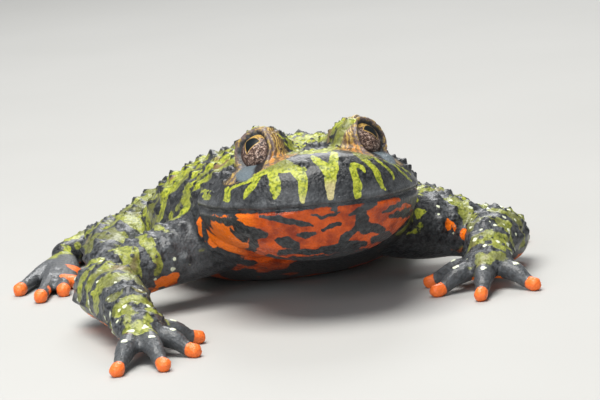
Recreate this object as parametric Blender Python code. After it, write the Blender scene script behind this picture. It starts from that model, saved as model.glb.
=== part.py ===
"""A fire-bellied toad as a still, life-size model, as a museum shows one.

The toad sits with its chest raised on its arms. It faces -Y, its left side is +X and the
floor is z = 0. Places on the body are given in millimetres from the snout tip: x to the
toad's left, y towards its rump and z above the floor. The last step changes them to metres
and puts the origin under the middle of the whole animal.
"""

import math

import bmesh
import bpy
import numpy as np
from mathutils import Matrix, Vector
from mathutils.bvhtree import BVHTree

MM = 0.001
GAP = 0.3

# Driving dimensions of the animal, in millimetres.
BODY_LENGTH = 50.0
HEAD_HALF_WIDTH = 8.7
HEAD_LENGTH = 12.0
MOUTH_FRONT_HEIGHT = 9.6
MOUTH_CORNER_HEIGHT = 8.6
SNOUT_RISE = 4.2
THROAT_DROP = 4.3
NECK_Y = 12.6
THROAT_FOLD_Y = 11.0
EYE_RADIUS = 1.65
LID_THICKNESS = 0.45
EYE_PLACE = Vector((3.65, 7.2, 12.8))
EYE_LOOK = Vector((0.57, -0.72, 0.41)).normalized()
EYE_OPENING_DEG = 47.0
BROW_RADII = (2.3, 3.6, 1.9)
NOSTRIL_PLACE = Vector((1.7, 1.55, 12.9))
NOSTRIL_RADIUS = 0.34
DIGIT_RADIUS = 0.62
FINGER_ROOT_RADIUS = 0.92
FINGER_ROOT_HEIGHT = 1.65
FINGER_ARCH = 0.25
TOE_ROOT_RADIUS = 0.85
TOE_ROOT_HEIGHT = 0.95
TOE_ARCH = 0.1
FLAT_DEPTH = 0.12
WEB_THICKNESS = 0.56
WEB_REACH = 0.62

# Radii of the limbs at the joints and the middles of their middle lines.
ARM_RADII = (3.1, 2.7, 2.3, 2.15, 2.35, 1.9, 1.5)
PALM_RADII = (2.2, 2.0, 1.3)
THIGH_RADII = (2.6, 2.6, 2.0)
SHANK_RADII = (1.9, 2.0, 1.4)
TARSUS_RADII = (1.3, 1.15)

# The soft bag of the throat: its middle and its radii.
THROAT_PLACE = (0.0, 6.4, 7.7)
THROAT_RADII = (7.1, 5.6, 3.3)

# Half lengths of the seams that part the limbs, or their reach outside and inside of a joint.
SHOULDER_SEAM = 3.9
ELBOW_SEAM = (3.8, 7.0)
WRIST_SEAM = 2.6
KNEE_SEAM = (3.4, 21.5)
# The seam between trunk and thigh runs from beside the vent to the flank, at these places.
RUMP_POINT = (3.6, 50.4)
FLANK_POINT = (13.9, 24.4)

WART_SIDES = 5
LOWEST_WART = 2.0

# The skin is fused from small cubes of this size, then thinned to about this many triangles.
VOXEL = 0.3
SMOOTH_STEPS = 5
BODY_TRIANGLES = 8200

# The trunk's outline, read at these distances behind the snout.
TRUNK_Y = (8.0, 10.0, 12.5, 15.0, 18.0, 21.0, 25.0, 29.0, 33.0, 37.0, 41.0, 44.5, 47.5, 50.0)
TRUNK_WIDTH = (4.5, 7.6, 8.8, 9.2, 9.8, 10.6, 11.4, 11.4, 10.6, 9.2, 7.6, 6.2, 4.6, 0.0)
TRUNK_TOP = (11.0, 12.4, 12.9, 12.8, 12.3, 11.8, 11.1, 10.3, 9.4, 8.4, 7.4, 6.4, 5.3, 3.6)
TRUNK_BOTTOM = (6.5, 4.6, 3.0, 1.8, 0.8, 0.1, -0.4, -0.6, -0.6, -0.4, 0.1, 0.8, 1.8, 3.6)
TRUNK_WIDEST = (8.4, 7.6, 6.9, 6.4, 5.6, 5.0, 4.6, 4.3, 4.1, 3.9, 3.8, 3.7, 3.6, 3.6)

# Each arm: root inside the chest, shoulder, elbow, wrist, palm and the four fingertips.
ARMS = {
    "right": {
        "root": (-5.0, 15.8, 5.8),
        "shoulder": (-9.6, 15.2, 4.7),
        "elbow": (-16.9, 12.4, 2.9),
        "wrist": (-15.9, 2.2, 2.8),
        "palm": (-15.6, -0.8, 2.1),
        "tips": ((-11.0, 0.4), (-11.9, -4.2), (-14.7, -7.8), (-18.2, -7.6)),
    },
    "left": {
        "root": (5.0, 16.6, 5.6),
        "shoulder": (9.6, 17.0, 4.0),
        "elbow": (16.9, 17.6, 2.3),
        "wrist": (14.5, 11.8, 2.8),
        "palm": (13.9, 9.2, 2.0),
        "tips": ((9.4, 11.2), (9.2, 7.2), (12.0, 3.6), (16.7, 5.2)),
    },
}
# Each leg: hip inside the rump, knee, ankle, end of the tarsus and the five toe tips.
LEGS = {
    "right": {
        "hip": (-6.0, 44.2, 3.4),
        "knee": (-14.9, 26.4, 2.1),
        "ankle": (-12.3, 44.2, 1.6),
        "heel": (-17.8, 36.9, 1.2),
        "tips": ((-17.3, 31.0), (-17.9, 28.0), (-19.1, 25.0), (-21.2, 23.4), (-22.6, 27.4)),
    },
    "left": {
        "hip": (6.0, 44.2, 3.4),
        "knee": (14.7, 27.2, 2.1),
        "ankle": (12.1, 44.6, 1.6),
        "heel": (17.6, 37.5, 1.2),
        "tips": ((17.2, 31.8), (17.7, 28.8), (18.7, 26.0), (20.2, 25.0), (20.9, 29.2)),
    },
}
# A wart field: how many, their largest and smallest radius, the stretch of its form that it
# covers and the turn around that form, where 0 points to the left and 90 straight up.
TRUNK_WARTS = {"count": 58, "sizes": (0.74, 0.46), "stretch": (13.6, 46.5), "turn": (6, 174)}
HEAD_WARTS = {"count": 12, "sizes": (0.50, 0.38), "stretch": (7.0, 12.0), "turn": (14, 166)}
LID_WARTS = {"count": 5, "sizes": (0.36, 0.28)}
ARM_WARTS = {"count": 15, "sizes": (0.56, 0.38), "stretch": (1.35, 4.9), "turn": (-10, 190)}
THIGH_WARTS = {"count": 9, "sizes": (0.60, 0.44), "stretch": (0.6, 1.95), "turn": (10, 170)}
SHANK_WARTS = {"count": 9, "sizes": (0.54, 0.40), "stretch": (0.1, 1.8), "turn": (10, 170)}

NODE_COLOURS = {
    "head": (0.24, 0.30, 0.06),
    "lower_jaw": (0.72, 0.10, 0.02),
    "torso": (0.20, 0.26, 0.07),
    "eye": (0.05, 0.03, 0.02),
    "upper_arm": (0.17, 0.22, 0.06),
    "forearm": (0.16, 0.21, 0.06),
    "hand": (0.06, 0.08, 0.07),
    "thigh": (0.18, 0.24, 0.07),
    "shank": (0.17, 0.22, 0.06),
    "foot": (0.07, 0.08, 0.06),
}


def quarter_curve(share, power):
    """Rises from 0 at share 0 to 1 at share 1 as a quarter of a superellipse."""
    share = np.clip(share, 0.0, 1.0)
    return (1.0 - (1.0 - share) ** power) ** (1.0 / power)


def mouth_height(y):
    """Height of the mouth line, which falls gently from the snout to its corner."""
    return MOUTH_FRONT_HEIGHT + (MOUTH_CORNER_HEIGHT - MOUTH_FRONT_HEIGHT) * y / HEAD_LENGTH


def smooth_read(places, values, at):
    """Reads a cubic curve through the values, with the slope at each set by its neighbours."""
    places = np.asarray(places, float)
    values = np.asarray(values, float)
    slopes = np.gradient(values, places)
    index = np.clip(np.searchsorted(places, at) - 1, 0, len(places) - 2)
    width = places[index + 1] - places[index]
    t = (at - places[index]) / width
    return (
        (2 * t**3 - 3 * t**2 + 1) * values[index]
        + (t**3 - 2 * t**2 + t) * width * slopes[index]
        + (-2 * t**3 + 3 * t**2) * values[index + 1]
        + (t**3 - t**2) * width * slopes[index + 1]
    )


def unit(vector):
    return vector / np.linalg.norm(vector)


def mesh_object(name, points, faces):
    """A new object from points in millimetres and faces."""
    mesh = bpy.data.meshes.new(name)
    mesh.from_pydata([tuple(point) for point in points], [], faces)
    obj = bpy.data.objects.new(name, mesh)
    bpy.context.scene.collection.objects.link(obj)
    return obj


def loft(name, rings):
    """A closed body through rings of points, an array of ring by point by xyz."""
    count, around = rings.shape[:2]
    faces = []
    for ring in range(count - 1):
        for step in range(around):
            after = (step + 1) % around
            low, high = ring * around, (ring + 1) * around
            faces.append((low + step, low + after, high + after, high + step))
    faces.append(tuple(range(around))[::-1])
    faces.append(tuple((count - 1) * around + step for step in range(around)))
    obj = mesh_object(name, rings.reshape(-1, 3), faces)
    face_outwards(obj)
    return obj


def face_outwards(obj):
    shape = bmesh.new()
    shape.from_mesh(obj.data)
    bmesh.ops.recalc_face_normals(shape, faces=shape.faces)
    shape.to_mesh(obj.data)
    shape.free()


def superellipse_rings(y, half_width, top, bottom, widest, power_top, power_bottom, around=48):
    """Upright sections along y, each a superellipse that is widest at its own height."""
    angle = np.linspace(0.0, 2 * math.pi, around, endpoint=False)
    cosine, sine = np.cos(angle), np.sin(angle)
    power = np.where(sine > 0, power_top, power_bottom)
    across = np.sign(cosine) * np.abs(cosine) ** (2.0 / power)
    upward = np.abs(sine) ** (2.0 / power)
    reach = np.where(sine[None] > 0, (top - widest)[:, None], (bottom - widest)[:, None])
    rings = np.empty((len(y), around, 3))
    rings[:, :, 0] = half_width[:, None] * across[None]
    rings[:, :, 1] = y[:, None]
    rings[:, :, 2] = widest[:, None] + reach * upward[None]
    return rings


def spaced(start, end, count):
    """Stations from start to end that lie closest at both ends, where a body closes."""
    turn = np.linspace(0.0, math.pi, count)
    return start + (end - start) * (1.0 - np.cos(turn)) / 2.0


def make_head():
    """Snout, skull and throat, closed at the back inside the chest."""
    back = 17.0
    y = spaced(0.0, back, 40)
    closing = quarter_curve((back - y) / 5.0, 2.0)
    widest = mouth_height(y)
    half_width = HEAD_HALF_WIDTH * quarter_curve(y / HEAD_LENGTH, 2.35) * closing
    rise = SNOUT_RISE * quarter_curve(y / 4.6, 2.3) - 0.03 * y
    drop = THROAT_DROP * quarter_curve((y - 0.35) / 6.0, 1.9)
    return loft(
        "head_body",
        superellipse_rings(
            y, half_width, widest + rise * closing, widest - drop * closing, widest, 2.15, 2.4
        ),
    )


def make_trunk():
    """Neck, chest, belly and rump."""
    y = spaced(TRUNK_Y[0], BODY_LENGTH, 44)
    width, top, bottom, widest = (
        smooth_read(TRUNK_Y, values, y)
        for values in (TRUNK_WIDTH, TRUNK_TOP, TRUNK_BOTTOM, TRUNK_WIDEST)
    )
    return loft(
        "trunk_body",
        superellipse_rings(y, np.maximum(width, 0.02), top, bottom, widest, 2.1, 2.5),
    )


def lump(name, centre, radii, turn=0.0, sides=28):
    """An ellipsoid, turned about the upright by an angle in degrees."""
    shape = bmesh.new()
    rings = sides // 2 + 1
    bmesh.ops.create_uvsphere(shape, u_segments=sides, v_segments=rings, radius=1.0)
    place = (
        Matrix.Translation(Vector(centre))
        @ Matrix.Rotation(math.radians(turn), 4, "Z")
        @ Matrix.Diagonal((*radii, 1.0))
    )
    bmesh.ops.transform(shape, matrix=place, verts=shape.verts)
    obj = mesh_object(name, [], [])
    shape.to_mesh(obj.data)
    shape.free()
    return obj


def tube(name, joints, radii, steps=10, around=20):
    """A limb: a circle carried along a smooth curve through the joints, with round ends."""
    joints = np.asarray(joints, float)
    places = np.arange(len(joints))
    at = np.linspace(0.0, len(joints) - 1.0, steps * (len(joints) - 1) + 1)
    path = np.stack([smooth_read(places, joints[:, axis], at) for axis in range(3)], axis=1)
    radius = smooth_read(places, radii, at)
    along = np.gradient(path, axis=0)
    along /= np.linalg.norm(along, axis=1)[:, None]
    cap = np.linspace(0.0, math.pi / 2, 6)[:-1]
    start = path[0] - along[0] * radius[0] * np.cos(cap)[:, None]
    end = path[-1] + along[-1] * radius[-1] * np.cos(cap[::-1])[:, None]
    path = np.concatenate([start, path, end])
    along = np.concatenate([np.repeat(along[:1], 5, 0), along, np.repeat(along[-1:], 5, 0)])
    shrink = np.maximum(np.sin(cap), 0.02)
    radius = np.concatenate([radius[0] * shrink, radius, radius[-1] * shrink[::-1]])
    side = np.cross(along, (0.0, 0.0, 1.0))
    side /= np.linalg.norm(side, axis=1)[:, None]
    above = np.cross(side, along)
    angle = np.linspace(0.0, 2 * math.pi, around, endpoint=False)
    rings = path[:, None] + radius[:, None, None] * (
        np.cos(angle)[None, :, None] * side[:, None]
        + np.sin(angle)[None, :, None] * above[:, None]
    )
    return loft(name, rings)


def make_digit(name, root, tip, root_radius, arch):
    """A finger or toe that arches from its root down to a rounded tip on the floor."""
    height = DIGIT_RADIUS - FLAT_DEPTH
    root = Vector(root)
    tip = Vector((*tip, height))
    middle = root.lerp(tip, 0.5) + Vector((0.0, 0.0, arch))
    near = root.lerp(tip, 0.84)
    near.z = height + 0.1
    radii = (root_radius, root_radius * 0.84, DIGIT_RADIUS * 0.88, DIGIT_RADIUS)
    return tube(name, (root, middle, near, tip), radii, steps=6, around=14)


def arm_joints(side):
    """The middle line of an arm, from inside the chest to the palm."""
    spec = {name: Vector(place) for name, place in ARMS[side].items() if name != "tips"}
    lift = Vector((0.0, 0.0, 0.2))
    upper = spec["shoulder"].lerp(spec["elbow"], 0.5) + lift
    fore = spec["elbow"].lerp(spec["wrist"], 0.45) + lift
    return (
        (spec["root"], spec["shoulder"], upper, spec["elbow"], fore, spec["wrist"], spec["palm"]),
        ARM_RADII,
    )


def thigh_joints(side):
    """The middle line of a thigh, from inside the rump to the knee."""
    hip, knee = Vector(LEGS[side]["hip"]), Vector(LEGS[side]["knee"])
    middle = hip.lerp(knee, 0.5) + Vector((math.copysign(0.3, hip.x), 0.0, 0.0))
    return (hip, middle, knee), THIGH_RADII


def shank_joints(side):
    """The middle line of a shank, from the knee back to the ankle."""
    knee, ankle = Vector(LEGS[side]["knee"]), Vector(LEGS[side]["ankle"])
    calf = knee.lerp(ankle, 0.42) + Vector((math.copysign(0.5, knee.x), 0.0, 0.2))
    return (knee, calf, ankle), SHANK_RADII


def make_arm(side):
    """Upper arm, forearm and a hand with four splayed fingers."""
    palm = Vector(ARMS[side]["palm"])
    reach = palm - Vector(ARMS[side]["wrist"])
    turn = math.degrees(math.atan2(reach.y, reach.x))
    pieces = [tube("arm", *arm_joints(side)), lump("palm", palm, PALM_RADII, turn)]
    for count, tip in enumerate(ARMS[side]["tips"]):
        root = palm.lerp(Vector((*tip, 0.0)), 0.2)
        root.z = FINGER_ROOT_HEIGHT
        pieces.append(
            make_digit(f"finger_{count}", root, tip, FINGER_ROOT_RADIUS, FINGER_ARCH)
        )
    return pieces


def make_web(name, root, tips):
    """A thin web between two toes, hollowed at its free edge."""
    first, second = (root.lerp(Vector((*tip, root.z)), WEB_REACH) for tip in tips)
    middle = root.lerp(first.lerp(second, 0.5), 0.72)
    outline = [root, first, middle, second]
    low, high = DIGIT_RADIUS - WEB_THICKNESS / 2, DIGIT_RADIUS + WEB_THICKNESS / 2
    points = [(place.x, place.y, height) for height in (low, high) for place in outline]
    faces = [(0, 1, 2), (0, 2, 3), (4, 6, 5), (4, 7, 6)]
    faces += [(i, (i + 1) % 4, 4 + (i + 1) % 4, 4 + i) for i in range(4)]
    obj = mesh_object(name, points, faces)
    face_outwards(obj)
    return obj


def make_leg(side):
    """Thigh, shank, tarsus and a webbed foot with five toes."""
    ankle, heel = Vector(LEGS[side]["ankle"]), Vector(LEGS[side]["heel"])
    tips = LEGS[side]["tips"]
    pieces = [
        tube("thigh", *thigh_joints(side)),
        tube("shank", *shank_joints(side)),
        tube("tarsus", (ankle, heel), TARSUS_RADII),
    ]
    root = Vector((heel.x, heel.y, TOE_ROOT_HEIGHT))
    for count, tip in enumerate(tips):
        pieces.append(make_digit(f"toe_{count}", root, tip, TOE_ROOT_RADIUS, TOE_ARCH))
    for count, pair in enumerate(zip(tips, tips[1:])):
        pieces.append(make_web(f"web_{count}", root, pair))
    return pieces


def eye_frame(side):
    """The centre of an eye and the direction it looks in, on the left or the right."""
    mirror = Vector((1.0 if side == "left" else -1.0, 1.0, 1.0))
    return EYE_PLACE * mirror, EYE_LOOK * mirror


def make_eye_bump(side):
    """The round lids that stand above the skull, with the brow that runs back from them."""
    centre, _ = eye_frame(side)
    radius = EYE_RADIUS + GAP + LID_THICKNESS
    inward = -math.copysign(0.9, centre.x)
    brow = centre + Vector((inward, 1.6, -0.9))
    return [
        lump("lids", centre, (radius, radius, radius)),
        lump("brow", brow, BROW_RADII),
    ]


def applied(obj):
    """Replaces the object's mesh by what its modifiers make of it."""
    bpy.context.view_layer.update()
    graph = bpy.context.evaluated_depsgraph_get()
    mesh = bpy.data.meshes.new_from_object(obj.evaluated_get(graph))
    obj.modifiers.clear()
    old = obj.data
    obj.data = mesh
    bpy.data.meshes.remove(old)
    return obj


def joined(name, pieces):
    """One object that holds the meshes of all the pieces, which are removed."""
    shape = bmesh.new()
    for piece in pieces:
        shape.from_mesh(piece.data)
        bpy.data.objects.remove(piece)
    obj = mesh_object(name, [], [])
    shape.to_mesh(obj.data)
    shape.free()
    return obj


def fused_body():
    """The whole animal without eyes and warts, as one even skin of few triangles."""
    pieces = [make_head(), make_trunk(), lump("throat", THROAT_PLACE, THROAT_RADII)]
    for side in ("right", "left"):
        pieces += make_eye_bump(side) + make_arm(side) + make_leg(side)
    body = joined("body", pieces)
    remesh = body.modifiers.new("one_skin", "REMESH")
    remesh.mode = "VOXEL"
    remesh.voxel_size = VOXEL
    smooth = body.modifiers.new("soft_creases", "SMOOTH")
    smooth.factor = 0.5
    smooth.iterations = SMOOTH_STEPS
    applied(body)
    body.data.calc_loop_triangles()
    fewer = body.modifiers.new("fewer_faces", "DECIMATE")
    fewer.ratio = BODY_TRIANGLES / len(body.data.loop_triangles)
    return applied(body)


def combined(body, tools, operation):
    """The body after one Boolean with all the tools, which are removed."""
    group = bpy.data.collections.new("tools")
    bpy.context.scene.collection.children.link(group)
    for tool in tools:
        group.objects.link(tool)
        bpy.context.scene.collection.objects.unlink(tool)
    change = body.modifiers.new("change", "BOOLEAN")
    change.operation = operation
    change.operand_type = "COLLECTION"
    change.collection = group
    applied(body)
    for tool in tools:
        bpy.data.objects.remove(tool)
    bpy.data.collections.remove(group)
    return body


def spread(count):
    """Pairs of numbers from 0 to 1 that fill a field evenly and yet without rows."""
    order = np.arange(count)
    return np.stack([(0.5 + order * 0.7548777) % 1.0, (0.5 + order * 0.5698403) % 1.0], axis=1)


def wart_sizes(spec):
    """Radii from the field's largest to its smallest."""
    return np.linspace(*spec["sizes"], spec["count"])


def field_rays(spec, axis_at):
    """For each wart of a field: a point on the form's middle line, the way out and a radius."""
    for (along, around), radius in zip(spread(spec["count"]), wart_sizes(spec)):
        low, high = spec["stretch"]
        place, side, above = axis_at(low + (high - low) * along)
        low, high = np.radians(spec["turn"])
        turn = low + (high - low) * around
        yield place, unit(math.cos(turn) * side + math.sin(turn) * above), radius


def upright_axis(y):
    """The middle of the trunk or the head, where a turn of 0 points to the left."""
    widest = smooth_read(TRUNK_Y, TRUNK_WIDEST, y)
    return np.array((0.0, y, widest)), np.array((1.0, 0.0, 0.0)), np.array((0.0, 0.0, 1.0))


def limb_axis(joints):
    """Reads a limb's middle line at a place counted in joints."""
    joints = np.array([tuple(joint) for joint in joints])
    places = np.arange(len(joints))

    def read(at):
        point = np.array([smooth_read(places, joints[:, axis], at) for axis in range(3)])
        further = np.array([smooth_read(places, joints[:, axis], at + 0.05) for axis in range(3)])
        side = unit(np.cross(further - point, (0.0, 0.0, 1.0)))
        return point, side, np.array((0.0, 0.0, 1.0))

    return read


def lid_rays(side):
    """Warts over the top and the back of an eye's lids."""
    centre, look = eye_frame(side)
    for (along, around), radius in zip(spread(LID_WARTS["count"]), wart_sizes(LID_WARTS)):
        turn = math.tau * around
        rise = 0.35 + 0.55 * along
        way = Vector((math.cos(turn) * (1 - rise), math.sin(turn) * (1 - rise), rise))
        way -= look * 0.45
        yield np.array(centre), unit(np.array(way)), radius


def make_wart(tree, place, way, radius, reach=16.0):
    """A low dome on the skin, found from outside along a ray; none where another part is first."""
    start = Vector(place + way * reach)
    hit, normal, _, _ = tree.ray_cast(start, Vector(-way))
    if hit is None or normal.dot(Vector(way)) < 0.35 or (start - hit).length < 1.0:
        return None
    if hit.z < LOWEST_WART:
        return None
    shape = bmesh.new()
    bmesh.ops.create_uvsphere(shape, u_segments=WART_SIDES, v_segments=4, radius=1.0)
    turned = normal.to_track_quat("Z", "Y").to_matrix().to_4x4()
    size = Matrix.Diagonal((radius, radius, radius * 0.9, 1.0))
    sunk = Matrix.Translation(hit - normal * radius * 0.25)
    bmesh.ops.transform(shape, matrix=sunk @ turned @ size, verts=shape.verts)
    obj = mesh_object("wart", [], [])
    shape.to_mesh(obj.data)
    shape.free()
    return obj


def make_warts(body):
    """All the warts of the solids, each on the skin of the finished body."""
    tree = BVHTree.FromPolygons(
        [tuple(vertex.co) for vertex in body.data.vertices],
        [tuple(face.vertices) for face in body.data.polygons],
    )
    rays = list(field_rays(TRUNK_WARTS, upright_axis)) + list(field_rays(HEAD_WARTS, upright_axis))
    for side in ("right", "left"):
        rays += list(field_rays(ARM_WARTS, limb_axis(arm_joints(side)[0])))
        rays += list(field_rays(THIGH_WARTS, limb_axis(thigh_joints(side)[0])))
        rays += list(field_rays(SHANK_WARTS, limb_axis(shank_joints(side)[0])))
        rays += list(lid_rays(side))
    warts = [make_wart(tree, place, way, radius) for place, way, radius in rays]
    return [wart for wart in warts if wart]


def box_between(name, low, high):
    """A box from its low corner to its high corner."""
    low, high = Vector(low), Vector(high)
    shape = bmesh.new()
    bmesh.ops.create_cube(shape, size=1.0)
    place = Matrix.Translation((low + high) / 2) @ Matrix.Diagonal((*(high - low), 1.0))
    bmesh.ops.transform(shape, matrix=place, verts=shape.verts)
    obj = mesh_object(name, [], [])
    shape.to_mesh(obj.data)
    shape.free()
    return obj


def seam(start, end):
    """An upright slab as thick as the gap, which parts what stands on its two sides."""
    start, end = Vector(start).to_2d(), Vector(end).to_2d()
    length = (end - start).length
    obj = box_between("seam", (0.0, -GAP / 2, -2.0), (length, GAP / 2, 20.0))
    turn = math.atan2(end.y - start.y, end.x - start.x)
    obj.data.transform(Matrix.Translation((*start, 0.0)) @ Matrix.Rotation(turn, 4, "Z"))
    return obj


def cross_seam(centre, way, half_length):
    """A seam straight across a limb that runs along the way."""
    way = Vector(way).to_2d().normalized()
    across = Vector((-way.y, way.x)) * half_length
    centre = Vector(centre).to_2d()
    return seam(centre - across, centre + across)


def fold_seam(before, joint, after, outer, inner):
    """A seam through a bent joint, along the line that halves its angle."""
    before, joint, after = (Vector(place).to_2d() for place in (before, joint, after))
    halving = ((before - joint).normalized() + (after - joint).normalized()).normalized()
    return seam(joint - halving * outer, joint + halving * inner)


def ankle_seam(side):
    """The seam between shank and foot, which leaves between the calf and the heel."""
    ankle, heel = Vector(LEGS[side]["ankle"]), Vector(LEGS[side]["heel"])
    gate = shank_joints(side)[0][1].lerp(heel, 0.62)
    way = gate - ankle
    return seam(ankle - way * 0.25, gate + way * 0.06)


def mouth_slab():
    """The slit between the lips, which runs back to the corners of the mouth."""
    half, front, back = 11.0, -3.0, NECK_Y + GAP / 2
    points = [
        (x, y, mouth_height(y) + lift)
        for x in (-half, half)
        for y in (front, back)
        for lift in (-GAP / 2, GAP / 2)
    ]
    faces = [(0, 1, 3, 2), (4, 6, 7, 5), (0, 4, 5, 1), (2, 3, 7, 6), (0, 2, 6, 4), (1, 5, 7, 3)]
    obj = mesh_object("mouth", points, faces)
    face_outwards(obj)
    return obj


def make_cutters():
    """Everything that is taken out of the body: floor, mouth, eye sockets, nostrils and seams."""
    half, low, corner = 11.0, -2.0, mouth_height(NECK_Y)
    cutters = [
        box_between("floor", (-60.0, -60.0, -30.0), (60.0, 90.0, 0.0)),
        mouth_slab(),
        box_between(
            "neck", (-half, NECK_Y - GAP / 2, corner - GAP / 2), (half, NECK_Y + GAP / 2, 18.0)
        ),
        box_between(
            "throat_fold",
            (-half, THROAT_FOLD_Y - GAP / 2, low),
            (half, THROAT_FOLD_Y + GAP / 2, mouth_height(THROAT_FOLD_Y)),
        ),
    ]
    for side in ("right", "left"):
        mirror = Vector((1.0 if side == "left" else -1.0, 1.0, 1.0))
        cutters.append(lump("nostril", NOSTRIL_PLACE * mirror, (NOSTRIL_RADIUS,) * 3, sides=8))
        cutters.append(make_socket(side))
        arm = {name: Vector(place) for name, place in ARMS[side].items() if name != "tips"}
        leg = {name: Vector(place) for name, place in LEGS[side].items() if name != "tips"}
        rump = Vector((*RUMP_POINT, 0.0)) * mirror
        flank = Vector((*FLANK_POINT, 0.0)) * mirror
        upper = arm["elbow"] - arm["shoulder"]
        cutters += [
            cross_seam(arm["shoulder"] + upper * 0.2, upper, SHOULDER_SEAM),
            fold_seam(arm["shoulder"], arm["elbow"], arm["wrist"], *ELBOW_SEAM),
            cross_seam(arm["wrist"], arm["palm"] - arm["elbow"], WRIST_SEAM),
            seam(rump, flank),
            fold_seam(leg["hip"], leg["knee"], leg["ankle"], *KNEE_SEAM),
            ankle_seam(side),
        ]
    return cutters


def make_socket(side):
    """The hollow for an eyeball, with the round opening between the lids."""
    centre, look = eye_frame(side)
    depth = 4.0
    mouth = depth * math.tan(math.radians(EYE_OPENING_DEG))
    hollow = EYE_RADIUS + GAP
    shape = bmesh.new()
    bmesh.ops.create_cone(
        shape, segments=18, radius1=0.3, radius2=mouth, depth=depth, cap_ends=True
    )
    bmesh.ops.translate(shape, vec=(0.0, 0.0, depth / 2), verts=shape.verts)
    turned = look.to_track_quat("Z", "Y").to_matrix().to_4x4()
    bmesh.ops.transform(shape, matrix=Matrix.Translation(centre) @ turned, verts=shape.verts)
    opening = mesh_object("opening", [], [])
    shape.to_mesh(opening.data)
    shape.free()
    socket = lump("socket", centre, (hollow, hollow, hollow), sides=16)
    return combined(socket, [opening], "UNION")


def node_places():
    """Each node's name with a point inside it and the joint that it is placed by."""
    places = {
        "head": ((0.0, 7.0, 11.6), (0.0, NECK_Y, 9.0)),
        "lower_jaw": ((0.0, 6.0, 7.4), (0.0, THROAT_FOLD_Y, 8.5)),
        "torso": ((0.0, 25.0, 5.0), (0.0, 25.0, 0.0)),
    }
    for side in ("right", "left"):
        arm = {name: Vector(place) for name, place in ARMS[side].items() if name != "tips"}
        leg = {name: Vector(place) for name, place in LEGS[side].items() if name != "tips"}
        thigh, shank = thigh_joints(side)[0], shank_joints(side)[0]
        fore = arm["elbow"].lerp(arm["wrist"], 0.5)
        places[f"upper_arm_{side}"] = (arm["shoulder"].lerp(arm["elbow"], 0.6), arm["shoulder"])
        places[f"forearm_{side}"] = (fore, arm["elbow"])
        places[f"hand_{side}"] = (arm["palm"], arm["wrist"])
        places[f"thigh_{side}"] = (thigh[1], leg["hip"])
        places[f"shank_{side}"] = (shank[1], leg["knee"])
        places[f"foot_{side}"] = (leg["heel"], leg["ankle"])
    return {name: (Vector(inside), Vector(joint)) for name, (inside, joint) in places.items()}


def islands(mesh):
    """Each connected piece of a mesh, as its points and its faces."""
    shape = bmesh.new()
    shape.from_mesh(mesh)
    unseen = set(shape.verts)
    pieces = []
    while unseen:
        open_ends = [unseen.pop()]
        found = []
        while open_ends:
            vertex = open_ends.pop()
            found.append(vertex)
            for edge in vertex.link_edges:
                other = edge.other_vert(vertex)
                if other in unseen:
                    unseen.remove(other)
                    open_ends.append(other)
        number = {vertex: count for count, vertex in enumerate(found)}
        faces = {face for vertex in found for face in vertex.link_faces}
        faces = sorted(faces, key=lambda face: face.index)
        points = [vertex.co.copy() for vertex in found]
        pieces.append((points, [tuple(number[corner] for corner in face.verts) for face in faces]))
    shape.free()
    return pieces


def skin_material(name, colour, roughness=0.35):
    material = bpy.data.materials.new(name)
    material.use_nodes = True
    surface = material.node_tree.nodes["Principled BSDF"]
    surface.inputs["Base Color"].default_value = (*colour, 1.0)
    surface.inputs["Roughness"].default_value = roughness
    surface.inputs["Metallic"].default_value = 0.0
    material.diffuse_color = (*colour, 1.0)
    return material


def finish_node(name, points, faces, joint, parent, middle):
    """One named node in metres, with its origin on its joint."""
    local = [(point - joint) * MM for point in points]
    obj = mesh_object(name, local, faces)
    obj.parent = parent
    obj.location = (joint - middle) * MM
    obj.data.shade_smooth()
    obj.data.set_sharp_from_angle(angle=math.radians(42.0))
    kind = name.rsplit("_", 1)[0] if name.endswith(("_left", "_right")) else name
    roughness = 0.08 if kind == "eye" else 0.35
    obj.data.materials.append(skin_material(f"{name}_skin", NODE_COLOURS[kind], roughness))
    return obj


def make_eyeball(side, parent, middle):
    """A round eyeball that sits free in its socket, a gap away from the lids."""
    centre, _ = eye_frame(side)
    shape = bmesh.new()
    bmesh.ops.create_uvsphere(shape, u_segments=16, v_segments=10, radius=EYE_RADIUS)
    points = [vertex.co + centre for vertex in shape.verts]
    faces = [tuple(corner.index for corner in face.verts) for face in shape.faces]
    shape.free()
    return finish_node(f"eye_{side}", points, faces, centre, parent, middle)


def make_nodes(body, parent):
    """Names the pieces that the seams leave, and drops any loose scrap."""
    pieces = islands(body.data)
    points = np.array([tuple(point) for piece, _ in pieces for point in piece])
    middle = Vector((*(points.min(axis=0) + points.max(axis=0))[:2] / 2, 0.0))
    trees = [BVHTree.FromPolygons([tuple(p) for p in piece], faces) for piece, faces in pieces]
    for name, (inside, joint) in node_places().items():
        distances = [tree.find_nearest(inside)[3] for tree in trees]
        piece, faces = pieces[int(np.argmin(distances))]
        finish_node(name, piece, faces, joint, parent, middle)
    for side in ("right", "left"):
        make_eyeball(side, parent, middle)


def main():
    for obj in list(bpy.data.objects):
        bpy.data.objects.remove(obj)
    body = fused_body()
    combined(body, make_warts(body), "UNION")
    combined(body, make_cutters(), "DIFFERENCE")
    toad = bpy.data.objects.new("toad", None)
    bpy.context.scene.collection.objects.link(toad)
    make_nodes(body, toad)
    bpy.data.objects.remove(body)


main()
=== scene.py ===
# %% [markdown]
# A fire-bellied toad, life size. This lesson builds the animal in Blender around a frame of
# plain solids that a physics program can use. Everything you see is worked out with numpy:
# first the forms of the body, then one skin over all of them, then warts, eyes and colours.
# All sizes are in millimetres in the toad's own place, where the snout tip is zero, x runs to
# its left, y back to its rump and z up from the floor. Only the last step writes metres.

# %% Load the frame
import math

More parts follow.
